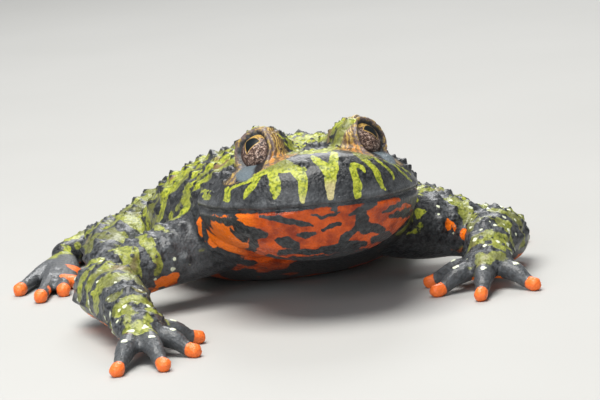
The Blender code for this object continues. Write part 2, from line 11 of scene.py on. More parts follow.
import bmesh
import bpy
import numpy as np
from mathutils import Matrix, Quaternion, Vector
from mathutils.bvhtree import BVHTree
from mathutils.kdtree import KDTree


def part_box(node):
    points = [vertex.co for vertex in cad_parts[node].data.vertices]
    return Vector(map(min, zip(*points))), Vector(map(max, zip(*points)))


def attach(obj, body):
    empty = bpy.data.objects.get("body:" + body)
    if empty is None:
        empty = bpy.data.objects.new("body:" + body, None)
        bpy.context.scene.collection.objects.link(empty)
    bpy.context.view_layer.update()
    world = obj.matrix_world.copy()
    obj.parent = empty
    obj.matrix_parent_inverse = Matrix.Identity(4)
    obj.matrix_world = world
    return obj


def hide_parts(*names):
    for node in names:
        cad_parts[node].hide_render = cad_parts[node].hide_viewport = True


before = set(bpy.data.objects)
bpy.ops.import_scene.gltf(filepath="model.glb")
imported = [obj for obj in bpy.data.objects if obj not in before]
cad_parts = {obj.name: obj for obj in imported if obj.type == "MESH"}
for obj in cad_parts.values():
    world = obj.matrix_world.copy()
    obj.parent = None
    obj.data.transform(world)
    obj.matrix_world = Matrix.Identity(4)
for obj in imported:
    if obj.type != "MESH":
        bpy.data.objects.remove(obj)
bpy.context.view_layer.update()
MM = 0.001
UP = np.array((0.0, 0.0, 1.0))
EYE_PLACE = np.array((3.65, 7.2, 12.8))
low, high = (np.array(corner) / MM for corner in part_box("eye_left"))
FRAME_SHIFT = (low + high) / 2 - EYE_PLACE
print("the snout tip lies at", np.round(FRAME_SHIFT, 2), "mm in the frame")

# %% [markdown]
# An animal's outline has no straight runs. It is measured at a few places only, and a cubic
# curve reads the rest, which keeps the numbers few. Soft steps and bells later shape the folds
# and the markings too.

# %% Curves through a few named values
def smooth_read(places, values, at):
    """A cubic curve through the values: between two of them it is the blend of both heights and
    of both slopes, and the slope at each is set by its neighbours."""
    places, values = np.asarray(places, float), np.asarray(values, float)
    slopes = np.gradient(values, places)
    index = np.clip(np.searchsorted(places, at) - 1, 0, len(places) - 2)
    width = places[index + 1] - places[index]
    t = (at - places[index]) / width
    return (
        (2 * t**3 - 3 * t**2 + 1) * values[index]
        + (t**3 - 2 * t**2 + t) * width * slopes[index]
        + (-2 * t**3 + 3 * t**2) * values[index + 1]
        + (t**3 - t**2) * width * slopes[index + 1]
    )


def quarter_curve(share, power):
    """Rises from 0 to 1 as a quarter of a superellipse: (1 - (1 - share)^p)^(1/p)."""
    share = np.clip(share, 0.0, 1.0)
    return (1.0 - (1.0 - share) ** power) ** (1.0 / power)


def step(start, end, value):
    """Rises smoothly from 0 at start to 1 at end: 3t^2 - 2t^3."""
    t = np.clip((value - start) / (end - start), 0.0, 1.0)
    return t * t * (3.0 - 2.0 * t)


def bump(value, width):
    """A bell that is 1 at value 0 and fades within about two widths: exp(-(value/width)^2)."""
    return np.exp(-((value / width) ** 2))


def unit(vectors):
    """The same directions with length 1."""
    return vectors / np.maximum(np.linalg.norm(vectors, axis=-1, keepdims=True), 1e-9)


# %% [markdown]
# A toad's body has few hard edges, so each of its forms can be a loft: closed rings of points
# set one behind the other. A ring of the trunk is a superellipse, an ellipse whose power says
# how square it is. A limb is a circle carried along a bent line. Both are functions of two
# parameters, the place along the form and the turn around it, so whole arrays come out at once.

# %% Forms as rings of points
def superellipse_rings(y, half_width, top, bottom, widest, power_top, power_bottom, around=72):
    """Upright rings along y: x = half_width * cos^(2/p), z = widest + reach * sin^(2/p), where
    the reach is to the top above the widest line and to the bottom below it."""
    angle = np.linspace(0.0, math.tau, around, endpoint=False)
    cosine, sine = np.cos(angle), np.sin(angle)
    power = np.where(sine > 0, power_top, power_bottom)
    across = np.sign(cosine) * np.abs(cosine) ** (2.0 / power)
    reach = np.where(sine[None] > 0, (top - widest)[:, None], (bottom - widest)[:, None])
    rings = np.empty((len(y), around, 3))
    rings[:, :, 0] = half_width[:, None] * across
    rings[:, :, 1] = y[:, None]
    rings[:, :, 2] = widest[:, None] + reach * np.abs(sine) ** (2.0 / power)
    return rings


def line_at(joints, at):
    """The places on a smooth line through the joints; at counts in joints."""
    places = np.arange(len(joints))
    return np.stack([smooth_read(places, column, at) for column in joints.T], axis=-1)


def tube_rings(joints, radii, steps=14, around=28, cap_rows=7):
    """A circle of changing radius carried along a smooth line through the joints, with a half
    round at both ends: ring = line + radius * (cos * side + sin * above)."""
    at = np.linspace(0.0, len(joints) - 1.0, steps * (len(joints) - 1) + 1)
    path = line_at(joints, at)
    radius = smooth_read(np.arange(len(joints)), radii, at)
    along = unit(np.gradient(path, axis=0))
    cap = np.linspace(0.0, math.pi / 2, cap_rows + 1)[:-1]
    start = path[0] - along[0] * radius[0] * np.cos(cap)[:, None]
    end = path[-1] + along[-1] * radius[-1] * np.cos(cap[::-1])[:, None]
    path = np.concatenate([start, path, end])
    before, after = (np.repeat(end, cap_rows, axis=0) for end in (along[:1], along[-1:]))
    along = np.concatenate([before, along, after])
    shrink = np.maximum(np.sin(cap), 0.02)
    radius = np.concatenate([radius[0] * shrink, radius, radius[-1] * shrink[::-1]])
    side = unit(np.cross(along, UP))
    above = np.cross(side, along)
    angle = np.linspace(0.0, math.tau, around, endpoint=False)[None, :, None]
    ring = np.cos(angle) * side[:, None] + np.sin(angle) * above[:, None]
    return path[:, None] + radius[:, None, None] * ring


def ball_rings(centre, radii, turn=0.0, around=40, rows=26):
    """An ellipsoid: x = r sin(v) cos(u), y = r sin(v) sin(u), z = r cos(v), turned about z."""
    across = np.linspace(0.0, math.tau, around, endpoint=False)
    down = np.linspace(0.04, math.pi - 0.04, rows)[:, None]
    x = radii[0] * np.sin(down) * np.cos(across)
    y = radii[1] * np.sin(down) * np.sin(across)
    z = radii[2] * np.cos(down) * np.ones_like(across)
    cosine, sine = math.cos(turn), math.sin(turn)
    rings = np.stack([x * cosine - y * sine, x * sine + y * cosine, z], axis=-1)
    return rings + np.asarray(centre)


def grid_faces(rows, columns, start=0):
    """Faces of rings closed around, with a face over each end."""
    ring = np.arange(rows * columns).reshape(rows, columns) + start
    after = np.roll(ring, -1, axis=1)
    quads = np.stack([ring[:-1], after[:-1], after[1:], ring[1:]], axis=-1)
    return [*quads.reshape(-1, 4).tolist(), ring[0, ::-1].tolist(), ring[-1].tolist()]


def placed(name, data):
    """A new object in the scene."""
    obj = bpy.data.objects.new(name, data)
    bpy.context.scene.collection.objects.link(obj)
    return obj


def mesh_from(name, points, faces):
    """A new object of points in millimetres and faces, with its normals pointing out."""
    mesh = bpy.data.meshes.new(name)
    mesh.from_pydata(points.tolist(), [], faces)
    shape = bmesh.new()
    shape.from_mesh(mesh)
    bmesh.ops.recalc_face_normals(shape, faces=shape.faces)
    shape.to_mesh(mesh)
    shape.free()
    return placed(name, mesh)


# %% [markdown]
# The trunk and the head are measured at a few places behind the snout. A fire-bellied toad is
# flat and wide: its back falls away to the rump, its belly rests on the floor, and its chest is
# held up by the arms. The mouth runs round the head a little above the middle of its height.

# %% Trunk and head
BODY_LENGTH = 50.0
TRUNK_Y = (8.0, 10.0, 12.5, 15.0, 18.0, 21.0, 25.0, 29.0, 33.0, 37.0, 41.0, 44.5, 47.5, 50.0)
TRUNK_WIDTH = (4.5, 7.6, 8.8, 9.2, 9.8, 10.6, 11.4, 11.4, 10.6, 9.2, 7.6, 6.2, 4.6, 0.0)
TRUNK_TOP = (11.0, 12.4, 12.9, 12.8, 12.3, 11.8, 11.1, 10.3, 9.4, 8.4, 7.4, 6.4, 5.3, 3.6)
TRUNK_BOTTOM = (6.5, 4.6, 3.0, 1.8, 0.8, 0.1, -0.4, -0.6, -0.6, -0.4, 0.1, 0.8, 1.8, 3.6)
TRUNK_WIDEST = (8.4, 7.6, 6.9, 6.4, 5.6, 5.0, 4.6, 4.3, 4.1, 3.9, 3.8, 3.7, 3.6, 3.6)
HEAD_HALF_WIDTH, HEAD_LENGTH, HEAD_BACK = 8.7, 12.0, 17.0
MOUTH_FRONT_HEIGHT, MOUTH_CORNER_HEIGHT = 9.6, 8.6
LIP_POWER = 2.35
SNOUT_RISE, SNOUT_LENGTH, CROWN_FALL = 4.2, 4.6, 0.03
THROAT_DROP, THROAT_LENGTH, CHIN_START = 4.3, 6.0, 0.35
NECK_LENGTH = 5.0
THROAT_BAG = ((0.0, 6.4, 7.7), (7.1, 5.6, 3.3))


def spaced(start, end, count):
    """Stations from start to end that lie closest at both ends, where a body closes."""
    turn = np.linspace(0.0, math.pi, count)
    return start + (end - start) * (1.0 - np.cos(turn)) / 2.0


def mouth_height(y):
    """Height of the mouth line, a straight fall from the snout to the corner."""
    return MOUTH_FRONT_HEIGHT + (MOUTH_CORNER_HEIGHT - MOUTH_FRONT_HEIGHT) * y / HEAD_LENGTH


def lip_y(x):
    """How far behind the snout tip the lip lies at a distance x from the middle."""
    share = np.minimum(np.abs(x) / HEAD_HALF_WIDTH, 1.0)
    return HEAD_LENGTH * (1.0 - (1.0 - share**LIP_POWER) ** (1.0 / LIP_POWER))


def trunk_rings():
    """Neck, chest, belly and rump, each ring read off the outline's curves."""
    y = spaced(TRUNK_Y[0], BODY_LENGTH, 60)
    width, top, bottom, widest = (
        smooth_read(TRUNK_Y, values, y)
        for values in (TRUNK_WIDTH, TRUNK_TOP, TRUNK_BOTTOM, TRUNK_WIDEST)
    )
    return superellipse_rings(y, np.maximum(width, 0.02), top, bottom, widest, 2.1, 2.5)


def head_rings():
    """Snout, skull and throat: each grows from the tip as a quarter of a superellipse."""
    y = spaced(0.0, HEAD_BACK, 60)
    closing = quarter_curve((HEAD_BACK - y) / NECK_LENGTH, 2.0)
    widest = mouth_height(y)
    half_width = HEAD_HALF_WIDTH * quarter_curve(y / HEAD_LENGTH, LIP_POWER) * closing
    rise = (SNOUT_RISE * quarter_curve(y / SNOUT_LENGTH, 2.3) - CROWN_FALL * y) * closing
    drop = THROAT_DROP * quarter_curve((y - CHIN_START) / THROAT_LENGTH, 1.9) * closing
    return superellipse_rings(y, half_width, widest + rise, widest - drop, widest, 2.15, 2.4)


print("trunk rings", trunk_rings().shape, "head rings", head_rings().shape)

# %% [markdown]
# An arm is one tube from inside the chest to the palm, and each finger is a thin tube that
# arches down to the floor. A sitting toad folds its hind leg into a flat Z: thigh, shank and
# foot lie side by side, and thin webs join the toes. The places of the joints are the pose.

# %% Arms and legs
# Radii along each limb; of a finger and a toe the radius at the root, and how far it arches.
LIMB_RADII = {
    "arm": (3.1, 2.7, 2.3, 2.15, 2.35, 1.9, 1.5),
    "thigh": (2.6, 2.6, 2.0),
    "shank": (1.9, 2.0, 1.4),
    "foot": (1.4, 1.2),
}
PALM_RADII = (2.2, 2.0, 1.3)
FINGER, TOE = (0.92, 0.25), (0.85, 0.1)
KNUCKLE_HEIGHT, HEEL_HEIGHT = 1.65, 0.95
DIGIT_RADIUS, FLAT_DEPTH, WEB_THICKNESS = 0.62, 0.12, 0.56
ARMS = {
    "right": dict(
        root=(-5.0, 15.8, 5.8), shoulder=(-9.6, 15.2, 4.7), elbow=(-16.9, 12.4, 2.9),
        wrist=(-15.9, 2.2, 2.8), palm=(-15.6, -0.8, 2.1),
        tips=((-11.0, 0.4), (-11.9, -4.2), (-14.7, -7.8), (-18.2, -7.6)),
    ),
    "left": dict(
        root=(5.0, 16.6, 5.6), shoulder=(9.6, 17.0, 4.0), elbow=(16.9, 17.6, 2.3),
        wrist=(14.5, 11.8, 2.8), palm=(13.9, 9.2, 2.0),
        tips=((9.4, 11.2), (9.2, 7.2), (12.0, 3.6), (16.7, 5.2)),
    ),
}
LEGS = {
    "right": dict(
        hip=(-6.0, 44.2, 3.4), knee=(-14.9, 26.4, 2.1),
        ankle=(-12.3, 44.2, 1.6), heel=(-17.8, 36.9, 1.2),
        tips=((-17.3, 31.0), (-17.9, 28.0), (-19.1, 25.0), (-21.2, 23.4), (-22.6, 27.4)),
    ),
    "left": dict(
        hip=(6.0, 44.2, 3.4), knee=(14.7, 27.2, 2.1),
        ankle=(12.1, 44.6, 1.6), heel=(17.6, 37.5, 1.2),
        tips=((17.2, 31.8), (17.7, 28.8), (18.7, 26.0), (20.2, 25.0), (20.9, 29.2)),
    ),
}
SIDES = {"right": -1.0, "left": 1.0}


def joint(spec, name):
    """The place of a joint as an array."""
    return np.array(spec[name], float)


def between(first, second, share, lift=(0.0, 0.0, 0.0)):
    """The point that share of the way from the first to the second, moved by the lift."""
    return first + (second - first) * share + np.asarray(lift)


def limb_lines(side):
    """The middle line of each limb: its joints, and between them points moved for the muscle."""
    root, shoulder, elbow, wrist, palm = (
        joint(ARMS[side], name) for name in ("root", "shoulder", "elbow", "wrist", "palm")
    )
    hip, knee, ankle, heel = (joint(LEGS[side], name) for name in ("hip", "knee", "ankle", "heel"))
    upper = between(shoulder, elbow, 0.5, (0.0, 0.0, 0.2))
    fore = between(elbow, wrist, 0.45, (0.0, 0.0, 0.2))
    middle = between(hip, knee, 0.5, (SIDES[side] * 0.3, 0.0, 0.0))
    calf = between(knee, ankle, 0.42, (SIDES[side] * 0.5, 0.0, 0.2))
    return {
        "arm": np.array((root, shoulder, upper, elbow, fore, wrist, palm)),
        "thigh": np.array((hip, middle, knee)),
        "shank": np.array((knee, calf, ankle)),
        "foot": np.array((ankle, heel)),
    }


def digit_joints(root, tip, root_radius, arch):
    """The middle line of a finger or toe, which arches to a rounded tip on the floor."""
    height = DIGIT_RADIUS - FLAT_DEPTH
    tip = np.array((*tip, height))
    near = between(root, tip, 0.84)
    near[2] = height + 0.1
    line = np.array((root, between(root, tip, 0.5, (0.0, 0.0, arch)), near, tip))
    return line, (root_radius, root_radius * 0.84, DIGIT_RADIUS * 0.88, DIGIT_RADIUS)


def web_rings(root, tips, reach=0.62):
    """A flat web: an outline from the root to two toes and hollow between them, drawn twice."""
    first, second = (between(root, np.array((*tip, root[2])), reach) for tip in tips)
    middle = between(root, (first + second) / 2, 0.72)
    outline = np.array((root, first, middle, second))
    low, high = outline.copy(), outline.copy()
    low[:, 2] = DIGIT_RADIUS - WEB_THICKNESS / 2
    high[:, 2] = DIGIT_RADIUS + WEB_THICKNESS / 2
    return np.array((low, high))


LIMBS = {side: limb_lines(side) for side in SIDES}
FINGERS, TOES = {}, {}
for side in SIDES:
    palm, heel = joint(ARMS[side], "palm"), joint(LEGS[side], "heel")
    for count, tip in enumerate(ARMS[side]["tips"]):
        root = between(palm, np.array((*tip, 0.0)), 0.2)
        root[2] = KNUCKLE_HEIGHT
        FINGERS[side, count] = digit_joints(root, tip, *FINGER)
    for count, tip in enumerate(LEGS[side]["tips"]):
        TOES[side, count] = digit_joints(np.array((*heel[:2], HEEL_HEIGHT)), tip, *TOE)
print(len(FINGERS), "fingers and", len(TOES), "toes")

# %% [markdown]
# The eyes of this toad stand well above its skull and look out to the front and side. A ball of
# lids carries each one, and a brow runs back from it into the head.

# %% Eye bumps
EYE_LOOK = unit(np.array((0.57, -0.72, 0.41)))
EYEBALL_RADIUS = 1.95
LID_RADIUS = 2.35
BROW_MOVE, BROW_RADII = (-0.9, 1.6, -0.9), (2.3, 3.6, 1.9)
CUP_PLACE, CUP_RADII, CUP_TURN = (5.2, 5.2, 11.7), (0.85, 1.75, 0.62), math.radians(24.0)


def mirrored(vector, side):
    """The same place or direction on the left or the right."""
    return np.array(vector) * np.array((SIDES[side], 1.0, 1.0))


def eye_axes(side):
    """Where an eye looks, the way up over its front and the way across it."""
    look = mirrored(EYE_LOOK, side)
    above = unit(UP - look * look[2])
    return look, above, np.cross(above, look)


def eye_bump_rings(side):
    """The lids, the brow behind them and the full cup of the lower lid."""
    centre = mirrored(EYE_PLACE, side)
    brow = centre + mirrored(BROW_MOVE, side)
    cup = ball_rings(mirrored(CUP_PLACE, side), CUP_RADII, -SIDES[side] * CUP_TURN)
    return [ball_rings(centre, (LID_RADIUS,) * 3), ball_rings(brow, BROW_RADII), cup]


# %% [markdown]
# One skin has to cover all of these forms with no seam. Joining dozens of lofts by hand would
# be slow, so the lofts are simply laid into each other and a voxel remesh shrinks one even skin
# around them. The head shows the finest markings, so its faces are cut smaller once more.
# Relaxing the points softens the creases where two forms meet: each point moves towards the
# mean of its neighbours, then a little back, which smooths the skin and keeps thin toes thick.

# %% One skin over all the forms
VOXEL = 0.28
HEAD_REACH_X, HEAD_REACH_Y, HEAD_LOWEST = 9.6, 12.5, 4.2
RELAX_ROUNDS = 7


def all_rings():
    """Every form of the body as an array of rings."""
    forms = [head_rings(), trunk_rings(), ball_rings(*THROAT_BAG)]
    for side in SIDES:
        palm, wrist = joint(ARMS[side], "palm"), joint(ARMS[side], "wrist")
        turn = math.atan2(*(palm - wrist)[1::-1])
        arm, *leg = (tube_rings(line, LIMB_RADII[limb]) for limb, line in LIMBS[side].items())
        forms += [*eye_bump_rings(side), arm, ball_rings(palm, PALM_RADII, turn), *leg]
        root = np.array((*joint(LEGS[side], "heel")[:2], HEEL_HEIGHT))
        tips = LEGS[side]["tips"]
        forms += [web_rings(root, pair) for pair in zip(tips, tips[1:])]
    forms += [tube_rings(*digit) for digit in (*FINGERS.values(), *TOES.values())]
    return forms


def laid_together(forms):
    """All the forms as one mesh of closed shells that overlap."""
    points, faces, start = [], [], 0
    for rings in forms:
        rows, columns = rings.shape[:2]
        points.append(rings.reshape(-1, 3))
        faces += grid_faces(rows, columns, start)
        start += rows * columns
    return mesh_from("forms", np.concatenate(points), faces)


def remeshed(obj, voxel):
    """The mesh of the object after a voxel remesh; the object is removed."""
    change = obj.modifiers.new("one_skin", "REMESH")
    change.mode = "VOXEL"
    change.voxel_size = voxel
    bpy.context.view_layer.update()
    graph = bpy.context.evaluated_depsgraph_get()
    mesh = bpy.data.meshes.new_from_object(obj.evaluated_get(graph))
    bpy.data.objects.remove(obj)
    return mesh


def finer_head(mesh):
    """Cuts each face of the head in four, then makes the whole mesh triangles."""
    shape = bmesh.new()
    shape.from_mesh(mesh)
    fine = {
        vertex
        for vertex in shape.verts
        if abs(vertex.co.x) < HEAD_REACH_X
        and vertex.co.y < HEAD_REACH_Y
        and vertex.co.z > HEAD_LOWEST
    }
    edges = [edge for edge in shape.edges if edge.verts[0] in fine and edge.verts[1] in fine]
    bmesh.ops.subdivide_edges(shape, edges=edges, cuts=1, use_grid_fill=True)
    bmesh.ops.triangulate(shape, faces=shape.faces)
    shape.to_mesh(mesh)
    shape.free()
    return mesh


def read_numbers(items, name, width=3, kind=float):
    """One property of every vertex or edge, as rows of that width."""
    numbers = np.empty(len(items) * width, kind)
    items.foreach_get(name, numbers)
    return numbers.reshape(-1, width)


def put_points(mesh, points):
    """Moves a mesh's vertices to these points."""
    mesh.vertices.foreach_set("co", points.ravel())
    mesh.update()


def neighbour_mean(values, edges, count):
    """For each point, the mean of its neighbours' values along the edges."""
    first, second = edges.T
    degree = np.bincount(first, minlength=count) + np.bincount(second, minlength=count)
    columns = values.reshape(count, -1).T
    sums = [
        np.bincount(first, column[second], count) + np.bincount(second, column[first], count)
        for column in columns
    ]
    return (np.stack(sums, axis=1) / degree[:, None]).reshape(values.shape)


def relaxed(points, edges, rounds, forward=0.55, back=-0.57):
    """Moves each point towards its neighbours' mean and back again, for a number of rounds."""
    for share in (forward, back) * rounds:
        points = points + share * (neighbour_mean(points, edges, len(points)) - points)
    return points


skin_mesh = finer_head(remeshed(laid_together(all_rings()), VOXEL))
edges = read_numbers(skin_mesh.edges, "vertices", 2, int)
smooth_points = relaxed(read_numbers(skin_mesh.vertices, "co"), edges, RELAX_ROUNDS)
put_points(skin_mesh, smooth_points)
print("the skin has", len(skin_mesh.polygons), "triangles")

# %% [markdown]
# Markings and small forms need to know where on the animal a point of the skin is. Three
# simple measures do: the height over the mouth line, the distance to each limb's middle line,
# and a soft three-dimensional noise that breaks up anything too regular.

# %% Measures of place
def value_noise(points, size, seed):
    """Soft noise from 0 to 1: random values on a lattice of cubes of that size, blended
    between the eight corners with 3t^2 - 2t^3."""
    table = np.random.default_rng(seed).random((32, 32, 32))
    place = points / size + 100.0
    corner = np.floor(place).astype(int)
    t = place - corner
    t = t * t * (3.0 - 2.0 * t)
    total = np.zeros(len(points))
    for cell in np.ndindex(2, 2, 2):
        weight = np.prod(np.where(cell, t, 1 - t), axis=1)
        total += weight * table[tuple(((corner + cell) % 32).T)]
    return total


def on_piece(points, first, second):
    """Of the nearest place on a straight piece: the share t of its length, and the distance."""
    way = second - first
    t = np.clip((points - first) @ way / (way @ way), 0.0, 1.0)
    return t, np.linalg.norm(points - first - t[:, None] * way, axis=1)


def near_line(points, line):
    """The distance to a bent line and how far along it the nearest place is."""
    best = np.full(len(points), np.inf)
    along = np.zeros(len(points))
    start = 0.0
    for first, second in zip(line[:-1], line[1:]):
        length = np.linalg.norm(second - first)
        t, distance = on_piece(points, first, second)
        along = np.where(distance < best, start + t * length, along)
        best = np.minimum(best, distance)
        start += length
    return best, along


def away_from(points, place, reach=1.0):
    """The distance to a place, each axis counted in shares of a reach."""
    return np.linalg.norm((points - place) / reach, axis=1)


LEVEL_TILT = 0.18
S = smooth_points
x, y, z = S.T
over_lip = z - mouth_height(y)
on_head = step(12.6, 11.4, y) * step(10.5, 9.4, np.abs(x))
level = over_lip + LEVEL_TILT * (y - lip_y(x))
print("points on the head:", int((on_head > 0.5).sum()))

# %% [markdown]
# The skin is lifted or lowered along its normals. The mouth is a narrow slit with a soft lip
# over it, the throat ends in a fold in front of the chest, and the nostrils are small pits on
# top of the snout. Creases at the joints show that the limbs are bent.

# %% Mouth, nostrils and folds
NOSTRIL_PLACE, NOSTRIL_RING = (1.7, 1.55, 12.9), 0.46
THROAT_FOLD, FOLD_RIM = 11.5, 10.7
# Grooves and ridges along the mouth: height over its line, lift and width.
LIPS = ((0.0, -0.34, 0.15), (0.42, 0.13, 0.26), (-0.45, 0.05, 0.25))
normals = read_numbers(skin_mesh.vertices, "normal")
lift = np.zeros(len(S))
for height, amount, width in LIPS:
    lift += amount * bump(over_lip - height, width) * on_head
throat_side = step(0.2, -0.8, over_lip) * step(10.2, 9.0, np.abs(x))
lift -= 0.4 * bump(y - THROAT_FOLD, 0.35) * throat_side
lift += 0.12 * bump(y - FOLD_RIM, 0.5) * throat_side
for side in SIDES:
    distance = away_from(S, mirrored(NOSTRIL_PLACE, side))
    lift += 0.1 * bump(distance - NOSTRIL_RING, 0.16) - 0.42 * bump(distance, 0.24)
    for spec, name in ((ARMS, "wrist"), (LEGS, "ankle")):
        distance = away_from(S, joint(spec[side], name))
        ripple = np.sin(distance * 5.2 + 3.0 * value_noise(S, 1.1, 5))
        lift += 0.05 * ripple * bump(distance, 1.9)
wrinkle = value_noise(S * (1.0, 1.0, 1.8), 0.62, 11) - 0.5
lift += 0.1 * wrinkle * step(-0.4, -1.2, over_lip) * step(15.0, 12.0, y)

# %% [markdown]
# Around each eye the skin is measured in angles from the direction that the eye looks in.
# Inside an upright oval the skin is pushed back under the eyeball, and a rim, two shallow rings
# and a fuller lower lid lie around it.

# %% Lids
# Half the width and height of an eye's opening, and its half width towards the snout.
OPENING = (math.radians(46.0), math.radians(48.0))
INNER_OPENING = math.radians(36.0)
SOCKET_RADIUS = 1.62
# How far the colour of the lower lid's cup reaches, and a ridge and a knob on the left lids.
CUP_REACH = (1.25, 2.0, 0.8)
RIDGE_LINE = ((1.75, 5.6, 13.2), (2.3, 5.9, 14.1), (3.3, 6.3, 15.0))
KNOB_PLACE = (2.95, 5.3, 13.9)
# The rim and the shallow rings of the lids: place in the oval measure, lift and width.
LID_RINGS = ((1.1, 0.14, 0.07), (1.36, 0.06, 0.07), (1.23, -0.07, 0.05))
FAR_AWAY = 9.0


def eye_angles(points, side):
    """Turns to the side and up from the eye's look, its distance, and the oval measure
    e = sqrt((side / width)^2 + (up / height)^2), which is 1 on the edge of the opening."""
    look, above, across = eye_axes(side)
    offset = points - mirrored(EYE_PLACE, side)
    ahead = offset @ look
    sideways = np.arctan2(offset @ across, np.maximum(ahead, 1e-3)) * SIDES[side]
    upward = np.arctan2(offset @ above, np.maximum(ahead, 1e-3))
    reach = np.linalg.norm(offset, axis=1)
    width = np.where(sideways > 0, OPENING[0], INNER_OPENING)
    oval = np.hypot(sideways / width, upward / OPENING[1])
    oval = np.where(ahead > 0, oval, FAR_AWAY)
    return sideways, upward, reach, oval


cup_rise = np.zeros(len(S))
for side in SIDES:
    cup_rise = np.maximum(cup_rise, 1.0 - away_from(S, mirrored(CUP_PLACE, side), CUP_REACH))
ridge, _ = near_line(S, np.array(RIDGE_LINE))
lift += 0.22 * bump(ridge, 0.4) + 0.25 * bump(away_from(S, KNOB_PLACE), 0.4)
moved = S + normals * lift[:, None]
eye_oval = np.full(len(S), FAR_AWAY)
eye_up, eye_out = np.zeros((2, len(S)))
for side in SIDES:
    sideways, upward, reach, oval = eye_angles(S, side)
    oval = np.where(reach < 4.0, oval, FAR_AWAY)
    out = unit(moved - mirrored(EYE_PLACE, side))
    rings = sum(amount * bump(oval - at, width) for at, amount, width in LID_RINGS)
    moved += out * (rings * step(3.6, 3.0, reach))[:, None]
    inside = step(1.03, 0.93, oval) * step(3.1, 2.6, reach)
    wanted = mirrored(EYE_PLACE, side) + out * SOCKET_RADIUS
    moved += (wanted - moved) * inside[:, None]
    eye_up = np.where(oval < eye_oval, upward, eye_up)
    eye_out = np.where(oval < eye_oval, sideways, eye_out)
    eye_oval = np.minimum(eye_oval, oval)

# %% [markdown]
# Warts make the animal. Each is a low dome with a dark horny point. In each field the large
# ones are placed first, and small ones fill the skin between them. A ray from outside finds
# where a wart stands, and a tree of points finds what to lift, which keeps this fast.

# %% Warts
# Each field: how many warts, the largest and smallest radius, where the field starts and ends
# along its form, and the turns around it in degrees.
WART_FIELDS = {
    "trunk": (430, (0.74, 0.24), (12.8, 48.0), (2, 178)),
    "head": (170, (0.5, 0.15), (3.4, 12.6), (10, 170)),
    "arm": (190, (0.56, 0.17), (1.2, 6.3), (-20, 200)),
    "thigh": (60, (0.6, 0.2), (0.4, 2.0), (0, 180)),
    "shank": (60, (0.54, 0.2), (0.0, 1.95), (0, 180)),
    "foot": (22, (0.3, 0.16), (0.1, 1.0), (10, 170)),
}
LID_WARTS = (30, (0.3, 0.12))
WART_SPREAD, WART_HEIGHT = 1.25, 0.95
LOWEST_WART = 1.6
# The face is smooth in front of this place, but for small warts on top of the snout.
FACE_Y, FACE_X, SNOUT_TOP, SNOUT_WART = 6.0, 9.5, 13.1, 0.3
# Pale tips on every so many small arm warts below a radius, and pale dots at shares along each
# finger: partly pale skin, partly painted highlights of the wet skin.
PALE_HIGHLIGHT_EVERY, PALE_HIGHLIGHT_BELOW = 2, 0.36
FINGER_HIGHLIGHT_DOTS = (0.25, 0.95)


def spread(count):
    """Pairs of numbers from 0 to 1 that fill a field evenly and yet without rows."""
    order = np.arange(count)
    return np.stack([(0.5 + order * 0.7548777) % 1.0, (0.5 + order * 0.5698403) % 1.0], axis=1)


def upright_axis(y):
    """The middle of the trunk or the head, where a turn of 0 points to the left."""
    place = np.array((0.0, y, smooth_read(TRUNK_Y, TRUNK_WIDEST, y)))
    return place, np.array((1.0, 0.0, 0.0))


def limb_axis(line):
    """Reads a limb's middle line at a place counted in joints, and its side direction."""

    def read(at):
        point, further = line_at(line, at), line_at(line, at + 0.05)
        return point, unit(np.cross(further - point, UP))

    return read


def field_rays(name, axis_at):
    """For each wart of a field: a point on the form's middle line, the way out, a radius."""
    count, sizes, stretch, turns = WART_FIELDS[name]
    rays = []
    for (along, around), radius in zip(spread(count), np.geomspace(*sizes, count)):
        place, side = axis_at(stretch[0] + np.ptp(stretch) * along)
        turn = math.radians(turns[0] + np.ptp(turns) * around)
        way = math.cos(turn) * side + math.sin(turn) * UP
        rays.append((place, unit(way), radius))
    return rays


def lid_rays(side):
    """Small warts over the top and the back of an eye's lids."""
    rays = []
    count, sizes = LID_WARTS
    for (along, around), radius in zip(spread(count), np.geomspace(*sizes, count)):
        turn, rise = math.tau * around, 0.25 + 0.65 * along
        way = np.array((math.cos(turn) * (1 - rise), math.sin(turn) * (1 - rise), rise))
        way = way - mirrored(EYE_LOOK, side) * 0.35
        rays.append((mirrored(EYE_PLACE, side), unit(way), radius))
    return rays


put_points(skin_mesh, moved)
P = moved
normals = read_numbers(skin_mesh.vertices, "normal")
faces = [tuple(face.vertices) for face in skin_mesh.polygons]
skin_tree = BVHTree.FromPolygons(P.tolist(), faces)
point_tree = KDTree(len(P))
for index, place in enumerate(P.tolist()):
    point_tree.insert(place, index)
point_tree.balance()

rays = field_rays("trunk", upright_axis) + field_rays("head", upright_axis)
for side in SIDES:
    for limb, line in LIMBS[side].items():
        rays += field_rays(limb, limb_axis(line))
    rays += lid_rays(side)

wart, pale_highlight, wart_lift = np.zeros((3, len(P)))
grown = 0
for place, way, radius in rays:
    start = Vector(place + way * 16.0)
    hit, normal, _, _ = skin_tree.ray_cast(start, Vector(-way))
    if hit is None or normal.dot(Vector(way)) < 0.3 or hit.z < LOWEST_WART:
        continue
    on_face = hit.y < FACE_Y and abs(hit.x) < FACE_X
    if on_face and (hit.z < SNOUT_TOP or radius > SNOUT_WART):
        continue
    found = point_tree.find_range(hit, radius * WART_SPREAD)
    if not found:
        continue
    index = np.array([item[1] for item in found])
    distance = np.array([item[2] for item in found]) / (radius * WART_SPREAD)
    dome = np.clip(1.0 - distance**2, 0.0, 1.0) ** 1.5 * 0.62 + 0.38 * bump(distance, 0.28)
    wart_lift[index] = np.maximum(wart_lift[index], dome * radius * WART_HEIGHT)
    wart[index] = np.maximum(wart[index], dome)
    # Some small arm warts get a pale tip: partly pale skin, partly a painted highlight of the wet
    # skin.
    on_arm = abs(place[0]) > 9.0 and place[1] < 20.0
    if on_arm and grown % PALE_HIGHLIGHT_EVERY == 0 and radius < PALE_HIGHLIGHT_BELOW:
        pale_highlight[index] = np.maximum(pale_highlight[index], dome)
    grown += 1
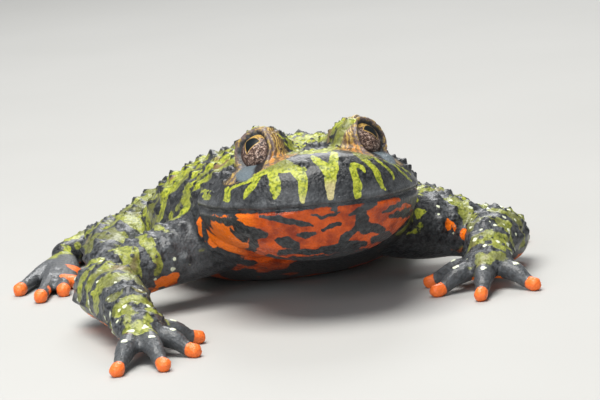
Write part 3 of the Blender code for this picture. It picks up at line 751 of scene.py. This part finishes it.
# Pale dots on top of the fingers: partly pale skin, partly painted highlights of the wet skin.
for side in SIDES:
    for share in FINGER_HIGHLIGHT_DOTS:
        for count in range(4):
            line = FINGERS[side, count][0]
            spot = between(line[0], line[1], share + 0.12 * (count % 2), (0.0, 0.0, 0.8))
            dome = np.clip(1.0 - away_from(P, spot, 0.3) ** 2, 0.0, 1.0)
            pale_highlight = np.maximum(pale_highlight, 1.6 * dome)
            wart_lift += 0.1 * dome
wart_lift *= step(1.25, 1.5, eye_oval)
wart *= step(1.25, 1.5, eye_oval)
P = P + normals * wart_lift[:, None]
print(grown, "warts")

# %% [markdown]
# The toad rests on flats at floor level, so the skin is pressed flat where it would dip below
# the floor. Then the points are written in metres, in the frame's place.

# %% Floor contact and place in the frame
P[:, 2] = np.maximum(P[:, 2], 0.0)
put_points(skin_mesh, (P + FRAME_SHIFT) * MM)
skin_mesh.shade_smooth()
skin_mesh.name = "toad_skin"
skin = placed("toad_skin", skin_mesh)
print("skin from", np.round(P.min(axis=0), 1), "to", np.round(P.max(axis=0), 1), "mm")

# %% [markdown]
# The markings follow the animal and not the camera, so they are kept on the skin's own points.
# Each is a signed distance: above zero inside the mark, below zero outside. A shader can cut
# such a value anywhere, which gives edges that are sharper than the mesh. The snout's green
# bars and the throat's black blotches are short strokes with a width, placed by the distance
# from the middle and the level over the lip.

# %% Strokes of colour
# Each stroke is a line of points: distance from the middle, level over the lip, half width.
SNOUT_BARS = (
    ((-4.9, 2.95, 0.14), (-6.3, 2.35, 0.12), (-7.1, 1.9, 0.16), (-7.3, 0.95, 0.19)),
    ((-4.9, 3.0, 0.26), (-5.5, 2.1, 0.26), (-6.15, 1.1, 0.08)),
    ((-3.9, 3.1, 0.38), (-3.8, 2.3, 0.4), (-3.95, 1.6, 0.38), (-4.05, 1.0, 0.08)),
    ((-2.1, 3.1, 0.5), (-1.75, 2.3, 0.36), (-1.95, 1.3, 0.34), (-2.05, 0.55, 0.22)),
    ((-0.65, 4.1, 0.2), (-0.1, 3.4, 0.4), (0.35, 2.6, 0.52), (0.2, 1.4, 0.4), (0.15, 0.6, 0.24)),
    ((1.1, 4.2, 0.28), (0.85, 3.4, 0.42), (0.45, 2.7, 0.5)),
    ((2.35, 3.0, 0.3), (2.25, 2.3, 0.28), (2.35, 1.4, 0.38), (2.25, 0.55, 0.28)),
    ((2.35, 3.05, 0.2), (2.95, 2.8, 0.2), (3.15, 2.35, 0.1)),
    ((3.15, 3.7, 0.24), (3.9, 2.7, 0.22), (4.25, 1.7, 0.26), (4.6, 0.7, 0.12)),
    ((4.35, 3.4, 0.14), (5.0, 2.6, 0.12), (5.5, 1.7, 0.14), (5.6, 1.3, 0.08)),
    ((5.0, 3.3, 0.12), (6.0, 2.4, 0.11), (6.9, 1.4, 0.13), (7.4, 0.8, 0.07)),
    ((5.6, 3.3, 0.08), (6.6, 2.3, 0.07), (7.6, 1.3, 0.06)),
    ((-8.6, 2.4, 0.2), (-8.2, 1.8, 0.18), (-8.35, 1.0, 0.12)),
    ((-5.2, 3.2, 0.22), (-4.0, 3.5, 0.4), (-2.7, 3.5, 0.42), (-1.5, 3.1, 0.14)),
    ((-4.4, 3.9, 0.34), (-3.0, 4.0, 0.46), (-2.5, 3.7, 0.36)),
    ((2.9, 4.1, 0.34), (3.7, 3.85, 0.42), (4.9, 3.85, 0.36)),
    ((-2.7, 4.6, 0.3), (-1.1, 4.85, 0.28), (0.4, 4.75, 0.3), (2.0, 4.95, 0.28), (3.6, 4.5, 0.34)),
)
# Black marks on the green and the dull olive of the brow.
SNOUT_SPOTS = (
    ((-1.75, 4.1, 0.55), (-1.35, 3.9, 0.45)),
    ((2.0, 4.0, 0.66), (1.6, 3.2, 0.42), (1.5, 1.8, 0.42), (1.3, 0.8, 0.34)),
)
THROAT_BLOTCHES = (
    ((-8.6, 0.0, 0.4), (-8.0, -0.1, 0.22), (-7.3, -0.1, 0.22), (-6.95, -0.5, 0.22)),
    ((-8.4, -0.5, 0.2), (-8.0, -0.6, 0.2), (-7.3, -0.8, 0.32), (-6.9, -0.9, 0.3)),
    ((-6.8, -1.0, 0.26), (-6.4, -1.35, 0.42), (-5.6, -1.6, 0.4), (-4.9, -1.8, 0.26)),
    ((-5.7, -1.9, 0.25), (-5.6, -2.6, 0.3), (-5.9, -3.1, 0.26)),
    ((-5.2, -0.42, 0.09), (-4.3, -0.55, 0.22), (-3.2, -0.85, 0.27), (-2.2, -1.15, 0.22),
     (-1.3, -1.35, 0.1)),
    ((-1.5, -0.5, 0.05), (-0.6, -0.72, 0.14), (0.3, -0.78, 0.14), (0.8, -0.6, 0.08)),
    ((0.3, -0.25, 0.16), (0.5, -0.35, 0.2)),
    ((1.5, -0.85, 0.1), (2.2, -0.65, 0.22), (3.0, -0.42, 0.22), (3.8, -0.32, 0.14)),
    ((2.5, -0.9, 0.4), (2.6, -1.4, 0.52), (2.8, -2.0, 0.46), (3.6, -2.1, 0.34), (4.3, -2.35, 0.26)),
    ((2.4, -1.9, 0.32), (1.6, -2.2, 0.26), (1.1, -2.6, 0.38), (0.9, -3.1, 0.34)),
    ((-0.55, -1.72, 0.1), (0.1, -1.6, 0.22), (0.85, -1.5, 0.14)),
    ((-2.5, -1.95, 0.1), (-1.9, -2.02, 0.24), (-1.2, -2.0, 0.12)),
    ((-3.9, -2.25, 0.28), (-3.3, -2.45, 0.42), (-2.6, -2.8, 0.28)),
    ((-3.8, -3.05, 0.14), (-1.5, -3.25, 0.2), (0.0, -3.3, 0.26), (1.2, -3.2, 0.38),
     (2.2, -3.2, 0.36), (2.9, -3.2, 0.2)),
    ((5.0, -1.45, 0.12), (5.6, -1.45, 0.3), (6.5, -1.5, 0.32), (7.6, -1.4, 0.42)),
    ((4.3, -1.05, 0.1), (5.2, -0.85, 0.15), (6.0, -0.7, 0.22)),
    ((3.6, -2.95, 0.28), (4.6, -2.8, 0.34), (5.2, -2.9, 0.2)),
    ((5.4, -3.1, 0.3), (6.6, -2.95, 0.34), (7.8, -2.6, 0.3)),
    ((6.3, -0.3, 0.36), (7.3, -0.5, 0.5), (8.2, -0.7, 0.45)),
    ((-8.65, -0.3, 0.3), (-8.5, -1.2, 0.3), (-8.5, -1.8, 0.46)),
    ((-7.1, -1.35, 0.16), (-6.7, -1.7, 0.26), (-6.2, -2.0, 0.24)),
    ((-4.6, -3.3, 0.16), (-3.0, -3.7, 0.2), (0.0, -3.9, 0.3), (3.5, -3.7, 0.24)),
)
# Single orange patches beside the throat and at the elbows: a place and how far each reaches.
ORANGE_PATCHES = (
    ((-8.7, 12.3, 6.8), (0.9, 0.42, 0.95)),
    ((-11.5, 12.2, 2.7), (1.2, 1.4, 0.7)),
    ((-14.2, 11.6, 2.7), (0.4, 1.0, 0.8)),
    ((12.0, 14.9, 4.3), (0.26, 1.1, 0.6)),
    ((12.5, 14.9, 4.0), (0.16, 1.1, 0.45)),
    ((13.3, 15.0, 3.2), (0.3, 1.1, 0.6)),
    ((13.9, 15.0, 2.9), (0.2, 1.1, 0.45)),
)
SLATE_PATCH = (-9.2, 12.9, 3.8)


def near_stroke(points, line):
    """Above zero inside a stroke: its half width at the nearest place on its line, less the
    distance to that line."""
    line = np.array(line)
    values = []
    for first, second in zip(line[:-1], line[1:]):
        t, distance = on_piece(points, first[:2], second[:2])
        values.append(first[2] + (second[2] - first[2]) * t - distance)
    return np.max(values, axis=0)


def stroke_field(points, strokes):
    """The highest value of all the strokes at each point."""
    return np.max([near_stroke(points, line) for line in strokes], axis=0)


WOBBLE_SIZE, BAR_WOBBLE, BLOTCH_WOBBLE = 0.55, 0.2, 0.26
flat = np.stack([x, level], axis=1)
wobble = np.stack([value_noise(S, WOBBLE_SIZE, seed) for seed in (21, 22)], axis=1) - 0.5
bars = stroke_field(flat + BAR_WOBBLE * wobble, SNOUT_BARS)
bars = np.minimum(bars, -stroke_field(flat + BAR_WOBBLE * wobble, SNOUT_SPOTS))
blotches = stroke_field(flat + BLOTCH_WOBBLE * wobble, THROAT_BLOTCHES)
print("share of the head in bars:", round(float((bars[on_head > 0.5] > 0).mean()), 2))

# %% [markdown]
# Away from the face the pattern has no single strokes worth drawing, and soft noise with a
# threshold gives the patches. On the limbs a wave along the limb turns the patches into bands.
# The belly side is orange with black patches, and so are the tips of the fingers and toes.

# %% Green patches and bands
# Of each limb: the joint where its bands begin, how far out they reach, the gap between two
# bands, and where along the limb they fade in.
BANDS = (
    ("arm", 1, 3.0, 2.5, (0.5, 2.5)),
    ("thigh", 0, 3.6, 3.6, (-2.0, -1.0)),
    ("shank", 0, 2.9, 3.2, (-2.0, -1.0)),
)
patches = 0.45 * value_noise(S, 2.3, 31) + 0.33 * value_noise(S, 1.1, 32) - 0.5
patches += 0.22 * value_noise(S, 0.5, 33)
limb_pull, limb_wave = np.zeros((2, len(S)))
for side in SIDES:
    for limb, first, reach, gap, begin in BANDS:
        distance, along = near_line(S, LIMBS[side][limb][first:])
        pull = step(reach + 0.5, reach - 0.3, distance) * step(*begin, along)
        wave = np.sin(math.tau * along / gap + 5.0 * (value_noise(S, 3.0, 40) - 0.5))
        limb_wave = np.where(pull > limb_pull, wave, limb_wave)
        limb_pull = np.maximum(limb_pull, pull)
green = patches * 2.4 + 0.07 + 0.36 * limb_wave * limb_pull
green += 0.12 * step(13.0, 17.0, y) * (1 - limb_pull)
green += limb_pull * (0.3 * step(0.1, 0.8, normals[:, 2]) - 0.12)
for side in SIDES:
    green -= 0.22 * bump(away_from(S, joint(ARMS[side], "palm")), 2.2)
armpit = step(9.2, 6.5, z) * step(3.0, 6.5, np.abs(x))
green -= 0.35 * bump(y - 13.5, 3.2) * armpit
snout = step(6.4, 4.2, y) * step(-0.4, 0.2, over_lip) * on_head
snout = np.maximum(snout, on_head * step(3.4, 2.8, over_lip) * step(-0.5, -0.2, over_lip))
green = green * (1 - snout) + bars * 1.6 * snout

# %% Orange underside
widest = smooth_read(TRUNK_Y, TRUNK_WIDEST, np.clip(y, TRUNK_Y[0], BODY_LENGTH))
under = (widest - 2.6 - z) * step(11.0, 12.5, y)
under = np.where(y < 12.0, -over_lip - 0.1, under)
down = -normals[:, 2]
under = np.where(limb_pull > 0.4, (down - 0.62) * 2.0, under)
belly_patch = 0.6 * value_noise(S, 2.6, 51) + 0.4 * value_noise(S, 1.2, 52)
near_slate = bump(away_from(S, SLATE_PATCH), 2.8)
belly_patch += 0.5 * bump(away_from(S, SLATE_PATCH), 2.2)
shade = 0.2 * bump(y - 14.0, 4.0)
orange = np.minimum(under, 1.4 * (0.52 - shade - belly_patch))
throat = on_head * step(0.0, -0.2, over_lip)
drawn = np.minimum(-over_lip - 0.16, -blotches)
flank = step(8.2, 9.8, y)
flank_patch = 0.6 * value_noise(S, 1.9, 71) + 0.4 * value_noise(S, 0.9, 72)
flank_patch = np.minimum(-over_lip - 0.5, 1.6 * (0.46 - flank_patch))
orange = orange * (1 - throat) + (drawn + (flank_patch - drawn) * flank) * throat
under = np.where(throat > 0.5, 1.0, under)
for place, reach in ORANGE_PATCHES:
    patch = 1.0 - away_from(S, place, reach)
    patch += 0.9 * (value_noise(S, 0.4, 61) - 0.5)
    orange = np.maximum(orange, patch)
    under = np.maximum(under, step(-0.5, 0.0, patch) * 0.5)

# %% Fingers and toes
TIP_COVERS = ((FINGERS, 0.55), (TOES, 0.45))
hand = np.zeros(len(S))
tip_mark = np.full(len(S), -FAR_AWAY)
for digits, cover in TIP_COVERS:
    for line, _ in digits.values():
        distance, along = near_line(S, line)
        length = np.linalg.norm(np.diff(line, axis=0), axis=1).sum()
        hand = np.maximum(hand, step(1.6, 1.0, distance) * step(0.18, 0.42, along / length))
        near_tip = np.where(distance < 1.4, along - length + cover, -FAR_AWAY)
        tip_mark = np.maximum(tip_mark, near_tip)

# %% [markdown]
# The lids are brown and gold around the eye, with a blue-grey cup below, and a green ridge on
# the left one. The angles measured for their shape place these too. Then all the fields are
# stored on the mesh's points, where the material reads them by name.

# %% Colours of the lids
cup = step(0.0, 0.22, cup_rise)
gold = step(2.1, 1.8, eye_oval) * step(1.1, 1.25, eye_oval)
gold *= step(-0.35, -0.55, eye_out) * step(0.15, -0.15, eye_up) * step(-1.0, -0.7, eye_up)
inner_side = step(-0.1, -0.6, eye_out)
lid = step(1.9 + 0.5 * inner_side, 1.2 + 0.5 * inner_side, eye_oval)
on_ridge = step(0.5, 0.32, ridge)
lid *= 1.0 - on_ridge
green = np.maximum(green, 1.2 * on_ridge - 0.5)

# %% Write the values to the skin
pale_stem = bump(x - 0.25, 0.8) * step(2.3, 1.5, level)
pale_stem += 0.5 * bump(x + 2.0, 0.7) * step(1.4, 0.6, level)
# A lighter orange: on the right side of the throat, which faces the light, it is painted light; on
# the left arm, beyond x 10.5, the orange is lighter too.
lit_throat_and_left_arm = step(-5.0, -6.6, x) * step(13.4, 12.6, y) + step(10.5, 11.5, x)
brow_olive = step(3.1, 3.7, level) * step(0.6, 2.6, np.abs(x - 0.4))
fields = dict(
    green=green,
    orange=np.where(hand > 0.5, tip_mark * 1.2, orange),
    lip=np.maximum(on_head * bump(over_lip - 0.3, 0.9), 1.2 * near_slate),
    oval=np.minimum(eye_oval, 3.0),
    cream=pale_stem * snout,
    dull=brow_olive * snout,
    lit_throat_and_left_arm=lit_throat_and_left_arm, under=under, wart=wart, pale_highlight=pale_highlight, hand=hand, tip=tip_mark,
    limb=limb_pull, snout=snout, lid=lid, cup=cup, gold=gold,
)


def store(mesh, name, values):
    """Keeps one value for each point on the mesh."""
    attribute = mesh.attributes.new(name, "FLOAT", "POINT")
    attribute.data.foreach_set("value", values.astype(np.float32).ravel())


for name, values in fields.items():
    store(skin_mesh, name, values)
print("fields on the skin:", ", ".join(fields))

# %% [markdown]
# A material is a small graph of nodes. These helpers add a node, set its sockets and wire it in
# one line each, so that a recipe below reads from top to bottom.

# %% Helpers for materials
class Recipe:
    """A material's node graph, built line by line."""

    def __init__(self, name):
        # A new material has one Principled shader, and patterns read the piece's own place.
        self.material = bpy.data.materials.new(name)
        self.material.use_nodes = True
        self.tree = self.material.node_tree
        self.surface = self.tree.nodes["Principled BSDF"]
        self.place = self.add("ShaderNodeTexCoord").outputs["Object"]

    def put(self, node, **sockets):
        """Sets or wires a node's inputs; names use _ for a space."""
        for name, value in sockets.items():
            self.wire(node.inputs[name.replace("_", " ")], value)
        return node

    def add(self, kind, **sockets):
        return self.put(self.tree.nodes.new(kind), **sockets)

    def wire(self, socket, value):
        if isinstance(value, bpy.types.NodeSocket):
            self.tree.links.new(value, socket)
        else:
            socket.default_value = value

    def field(self, name):
        """A value stored on the skin's points."""
        node = self.add("ShaderNodeAttribute")
        node.attribute_name = name
        return node.outputs["Fac"]

    def noise(self, size, detail=3.0, roughness=0.55, distortion=0.0):
        """Noise from 0 to 1 with features of about that size in millimetres."""
        node = self.add("ShaderNodeTexNoise", Vector=self.place, Scale=1.0 / (size * MM))
        self.put(node, Detail=detail, Roughness=roughness, Distortion=distortion)
        return node.outputs["Fac"]

    def cells(self, size):
        """Distance to the nearest of many scattered points."""
        node = self.add("ShaderNodeTexVoronoi", Vector=self.place, Scale=1.0 / (size * MM))
        return node.outputs["Distance"]

    def math(self, operation, first, second=0.0):
        node = self.add("ShaderNodeMath")
        node.operation = operation
        self.wire(node.inputs[0], first)
        self.wire(node.inputs[1], second)
        return node.outputs[0]

    def plus(self, first, second):
        return self.math("ADD", first, second)

    def minus(self, first, second):
        return self.math("SUBTRACT", first, second)

    def times(self, first, second):
        return self.math("MULTIPLY", first, second)

    def ramp(self, value, start, end, low=0.0, high=1.0):
        """The value spread smoothly over a range."""
        node = self.add("ShaderNodeMapRange", Value=value, From_Min=start, From_Max=end)
        self.put(node, To_Min=low, To_Max=high)
        node.interpolation_type = "SMOOTHSTEP"
        return node.outputs["Result"]

    def mix(self, share, first, second):
        """One colour turned into another by a share."""
        node = self.add("ShaderNodeMix")
        node.data_type = "RGBA"
        self.put(node, Factor=share, A=colour(first), B=colour(second))
        return node.outputs["Result"]

    def relief(self, height, depth):
        """Bump with a depth in millimetres."""
        node = self.add("ShaderNodeBump", Height=height, Strength=1.0, Distance=depth * MM)
        self.put(self.surface, Normal=node.outputs["Normal"])


def colour(value):
    """A colour's three parts with alpha 1; a socket passes unchanged."""
    return value if isinstance(value, bpy.types.NodeSocket) else (*value, 1.0)


# %% [markdown]
# The skin's colours: a dark slate ground, yellow-green patches with a warmer tint here and
# there, orange-red below, black horny points on the warts. A moist skin mirrors the sky in
# small shining spots, which the gloss and the fine grain of the relief give; pale tips on some
# warts and dots on the fingers paint part of these highlights into the colour. A lighter orange
# on the right side of the throat is painted light.

# %% Skin material
SLATE = (0.052, 0.055, 0.058)
BLACK = (0.01, 0.011, 0.013)
LIP_GREY = (0.105, 0.112, 0.12)
LIMB_GREY = (0.085, 0.092, 0.1)
GREEN = (0.18, 0.25, 0.01)
LIME = (0.66, 0.71, 0.025)
OLIVE = (0.21, 0.22, 0.035)
TAN = (0.34, 0.21, 0.085)
CREAM = (0.86, 0.74, 0.34)
ORANGE = (0.6, 0.085, 0.004)
# A lighter orange: painted light on the right side of the throat, and the lighter orange of the
# left arm.
LIT_THROAT_AND_LEFT_ARM_ORANGE = (0.98, 0.2, 0.006)
DEEP_ORANGE = (0.24, 0.024, 0.002)
TIP_ORANGE = (0.86, 0.17, 0.03)
# Pale tips and dots: partly pale skin, partly painted highlights of the wet skin.
PALE_HIGHLIGHT = (0.66, 0.7, 0.52)
LID_BROWN = (0.13, 0.075, 0.035)
LID_GOLD = (0.4, 0.27, 0.07)
LID_PLUM = (0.135, 0.098, 0.088)
CUP_BLUE = (0.115, 0.145, 0.165)
GOLD = (0.48, 0.21, 0.05)


def lid_colours(r, fine, middle):
    """Wrinkles that run around the eye: bands of the oval measure, bent by noise."""
    bent = r.plus(r.field("oval"), r.times(middle, 0.9))
    wave = r.math("SINE", r.times(bent, 30.0))
    wave = r.plus(wave, r.times(r.minus(fine, 0.5), 5.0))
    lid = r.mix(r.ramp(wave, -0.6, 1.0), LID_BROWN, LID_GOLD)
    inner_ring = r.mix(r.ramp(fine, 0.48, 0.62), LID_PLUM, LID_GOLD)
    lid = r.mix(r.ramp(r.field("oval"), 1.42, 1.25), lid, inner_ring)
    lid = r.mix(r.times(r.field("gold"), r.ramp(wave, -0.2, 0.8)), lid, GOLD)
    lid = r.mix(r.ramp(r.field("oval"), 1.05, 0.99), lid, BLACK)
    lid = r.mix(r.ramp(r.field("wart"), 0.42, 0.6), lid, BLACK)
    return lid


def skin_recipe():
    r = Recipe("toad_skin")
    fine, middle, broad = r.noise(0.35, 4.0), r.noise(1.2), r.noise(5.0)
    grain = r.minus(fine, 0.5)
    ground = r.mix(r.ramp(fine, 0.35, 0.75), BLACK, SLATE)
    ground = r.mix(r.times(r.field("lip"), r.ramp(middle, 0.25, 0.8)), ground, LIP_GREY)
    ground = r.mix(r.times(r.field("limb"), r.ramp(fine, 0.3, 0.7)), ground, LIMB_GREY)
    dots = r.minus(fine, r.times(r.cells(0.2), 0.35))
    mottle = r.mix(r.ramp(dots, 0.1, 0.42), GREEN, LIME)
    tint = r.mix(r.ramp(broad, 0.45, 0.6), mottle, OLIVE)
    tint = r.mix(r.ramp(r.noise(3.1), 0.6, 0.7), tint, TAN)
    tint = r.mix(r.times(r.field("limb"), 0.4), tint, OLIVE)
    tint = r.mix(r.field("snout"), tint, mottle)
    tint = r.mix(r.times(r.field("dull"), 0.75), tint, OLIVE)
    tint = r.mix(r.field("cream"), tint, CREAM)
    edge = r.plus(r.field("green"), r.times(grain, 0.3))
    base = r.mix(r.ramp(edge, -0.03, 0.06), ground, tint)
    base = r.mix(r.ramp(r.field("wart"), 0.42, 0.66), base, BLACK)
    belly = r.mix(r.ramp(middle, 0.3, 0.7), DEEP_ORANGE, ORANGE)
    # Lighter orange: painted light on the right side of the throat, and lighter on the left arm.
    belly = r.mix(r.times(r.field("lit_throat_and_left_arm"), 0.85), belly, LIT_THROAT_AND_LEFT_ARM_ORANGE)
    edge = r.plus(r.field("orange"), r.times(grain, 0.2))
    ventral = r.mix(r.ramp(edge, -0.03, 0.04), ground, belly)
    base = r.mix(r.ramp(r.field("under"), -0.1, 0.1), base, ventral)
    hand_ground = r.mix(r.ramp(fine, 0.3, 0.7), SLATE, LIMB_GREY)
    hand = r.mix(r.ramp(r.field("tip"), -0.06, 0.06), hand_ground, TIP_ORANGE)
    base = r.mix(r.ramp(r.field("hand"), 0.2, 0.8), base, hand)
    # Pale tips and dots: partly pale skin, partly painted highlights of the wet skin.
    base = r.mix(r.ramp(r.field("pale_highlight"), 0.35, 0.5), base, PALE_HIGHLIGHT)
    base = r.mix(r.field("lid"), base, lid_colours(r, fine, middle))
    base = r.mix(r.field("cup"), base, CUP_BLUE)
    r.put(r.surface, Base_Color=base, Roughness=r.ramp(fine, 0.3, 0.8, 0.36, 0.55))
    r.put(r.surface, Coat_Weight=0.24, Coat_Roughness=0.1, Specular_IOR_Level=0.28)
    r.relief(r.plus(r.cells(0.22), r.times(fine, 1.4)), 0.05)
    return r.material


skin_mesh.materials.append(skin_recipe())

# %% [markdown]
# An eyeball is a ball whose pole points where the eye looks. Its two parameters are the turn
# around that pole and the angle from it, and the iris and the pupil are drawn with them, so the
# pupil's odd shape stays put on the eye.

# %% Eyeballs
def eyeball(side):
    """A ball: point = centre + radius * (cos(v) * look + sin(v) * (cos(u) * across +
    sin(u) * above)), with the front slightly fuller for the cornea."""
    look, above, across = eye_axes(side)
    rows, columns = 72, 96
    v = np.linspace(0.0, math.pi, rows + 2)[1:-1, None, None]
    u = np.linspace(0.0, math.tau, columns, endpoint=False)[None, :, None]
    radius = EYEBALL_RADIUS + 0.1 * bump(v, 0.55)
    ring = np.cos(u) * across + np.sin(u) * above
    points = mirrored(EYE_PLACE, side) + radius * (np.cos(v) * look + np.sin(v) * ring)
    obj = mesh_from(f"eyeball_{side}", points.reshape(-1, 3), grid_faces(rows, columns))
    mesh = obj.data
    outward = np.sin(v) * np.cos(u) * SIDES[side]
    upward = np.sin(v) * np.sin(u)
    store(mesh, "eye_out", outward)
    store(mesh, "eye_up", upward)
    put_points(mesh, (points.reshape(-1, 3) + FRAME_SHIFT) * MM)
    mesh.shade_smooth()
    return obj


IRIS_DARK = (0.03, 0.018, 0.016)
IRIS_COPPER = (0.19, 0.115, 0.085)
IRIS_PINK = (0.56, 0.44, 0.37)
IRIS_GOLD = (0.46, 0.29, 0.075)
PUPIL = (0.003, 0.006, 0.008)
# The pupil is a drop with a flat top: shares of the eyeball's radius from the middle.
PUPIL_TOP, PUPIL_HALF_WIDTH, PUPIL_DEPTH, PUPIL_ASIDE = 0.56, 0.34, 0.66, 0.14
PUPIL_ARCH, PUPIL_POWER = 1.3, 1.3


def eye_recipe():
    r = Recipe("toad_eye")
    right, up = r.field("eye_out"), r.field("eye_up")
    off = r.minus(right, PUPIL_ASIDE)
    top = r.minus(PUPIL_TOP, r.times(r.times(off, off), PUPIL_ARCH))
    below = r.minus(top, up)
    share = r.math("DIVIDE", r.math("MAXIMUM", below, 0.0), PUPIL_DEPTH)
    width = r.times(r.minus(1.0, r.math("POWER", share, PUPIL_POWER)), PUPIL_HALF_WIDTH)
    middle = r.plus(r.times(share, 0.1), PUPIL_ASIDE)
    beside = r.math("ABSOLUTE", r.minus(right, middle))
    inside = r.math("MINIMUM", r.minus(width, beside), below)
    net = r.noise(0.17, 5.0, 0.7, 0.9)
    iris = r.mix(r.ramp(net, 0.44, 0.56), IRIS_DARK, IRIS_COPPER)
    iris = r.mix(r.ramp(net, 0.52, 0.66), iris, IRIS_PINK)
    from_middle = r.math("SQRT", r.plus(r.times(right, right), r.times(up, up)))
    iris = r.mix(r.times(r.ramp(from_middle, 0.42, 0.72), 0.75), iris, IRIS_DARK)
    gold = r.times(r.ramp(up, 0.5, 0.62), r.ramp(net, 0.4, 0.52))
    iris = r.mix(gold, iris, IRIS_GOLD)
    iris = r.mix(r.ramp(inside, -0.035, -0.015), iris, IRIS_GOLD)
    eye = r.mix(r.ramp(inside, -0.012, 0.012), iris, PUPIL)
    r.put(r.surface, Base_Color=eye, Roughness=0.45, Specular_IOR_Level=0.15)
    r.put(r.surface, Coat_Weight=0.06, Coat_Roughness=0.06)
    return r.material


eye_material = eye_recipe()
eyes = {side: eyeball(side) for side in SIDES}
for eye in eyes.values():
    eye.data.materials.append(eye_material)
print("eyeballs", [eye.name for eye in eyes.values()])

# %% [markdown]
# The skin stands for all the solids of flesh, and the eyeballs for the solids of the eyes. All
# of them ride on the one body of a still model.

# %% Tie the pieces to the frame
FLESH = [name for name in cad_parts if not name.startswith("eye_")]
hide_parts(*FLESH)
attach(skin, "root")
for side, eye in eyes.items():
    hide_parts(f"eye_{side}")
    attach(eye, "root")

# %% [markdown]
# The stage: a plain pale floor, a large soft light from above like a bright sky, weaker ones
# from the front and from behind, and a pale world that fills the shadows.

# %% Floor and lights
def flat_floor(half_width=1.5):
    """One large square at height zero."""
    corners = np.array(((-1, -1, 0), (1, -1, 0), (1, 1, 0), (-1, 1, 0))) * half_width
    mesh = bpy.data.meshes.new("studio_floor")
    mesh.from_pydata(corners.tolist(), [], [(0, 1, 2, 3)])
    return placed("studio_floor", mesh)


PAPER_DARK, PAPER_LIGHT = (0.38, 0.38, 0.37), (0.42, 0.42, 0.41)
floor = flat_floor()
paper = Recipe("studio_paper")
sheet = paper.mix(paper.noise(40.0), PAPER_DARK, PAPER_LIGHT)
paper.put(paper.surface, Base_Color=sheet, Roughness=0.8)
floor.data.materials.append(paper.material)


def soft_light(name, place, target, size, power, tint):
    """A square light that faces its target."""
    data = bpy.data.lights.new(name, "AREA")
    data.shape = "SQUARE"
    data.size, data.energy, data.color = size, power, tint
    light = placed(name, data)
    light.location = place
    light.rotation_mode = "QUATERNION"
    light.rotation_quaternion = (Vector(target) - Vector(place)).to_track_quat("-Z", "Y")


TOAD_MIDDLE = (0.0, 0.0, 0.006)
soft_light("sky_light", (-0.06, -0.05, 0.3), TOAD_MIDDLE, 0.22, 1.7, (1.0, 0.98, 0.94))
soft_light("fill_light", (-0.16, -0.26, 0.09), TOAD_MIDDLE, 0.2, 0.5, (0.95, 0.97, 1.0))
soft_light("rim_light", (0.05, 0.22, 0.18), TOAD_MIDDLE, 0.12, 0.3, (1.0, 1.0, 1.0))
world = bpy.data.worlds.new("pale_room")
bpy.context.scene.world = world
world.use_nodes = True
background = world.node_tree.nodes["Background"].inputs
background["Color"].default_value = (0.86, 0.89, 0.92, 1.0)
background["Strength"].default_value = 0.3

# %% [markdown]
# The camera looks at the face from just above, a little from the toad's right. It is tilted,
# because the animal leans to one side, and a long lens keeps the face in proportion.

# %% Camera
CAMERA_TURN, CAMERA_RISE, CAMERA_ROLL = -8.5, 10.0, 5.0
CAMERA_DISTANCE = 260.0
PICTURE_WIDTH = 600
PIXELS_PER_MM = 13.0
MOUTH_PIXELS = (28.0, 8.0)
MOUTH = Vector((0.0, 0.5, 9.55))
turn, rise = math.radians(CAMERA_TURN), math.radians(CAMERA_RISE)
back = Vector((math.sin(turn) * math.cos(rise), -math.cos(turn) * math.cos(rise), math.sin(rise)))
level_view = (-back).to_track_quat("-Z", "Y")
target = MOUTH - level_view @ Vector((MOUTH_PIXELS[0], -MOUTH_PIXELS[1], 0.0)) / PIXELS_PER_MM
bpy.context.scene.view_settings.view_transform = "Standard"
camera = placed("camera", bpy.data.cameras.new("camera"))
camera.location = (target + back * CAMERA_DISTANCE + Vector(FRAME_SHIFT)) * MM
roll = Quaternion(UP, math.radians(-CAMERA_ROLL))
camera.rotation_mode = "QUATERNION"
camera.rotation_quaternion = level_view @ roll
camera.data.lens = camera.data.sensor_width * CAMERA_DISTANCE / (PICTURE_WIDTH / PIXELS_PER_MM)
camera.data.clip_start, camera.data.clip_end = 0.01, 10.0
bpy.context.scene.camera = camera

# %% [markdown]
# Last, the scene is brought up to date.

# %% Finish
bpy.context.view_layer.update()
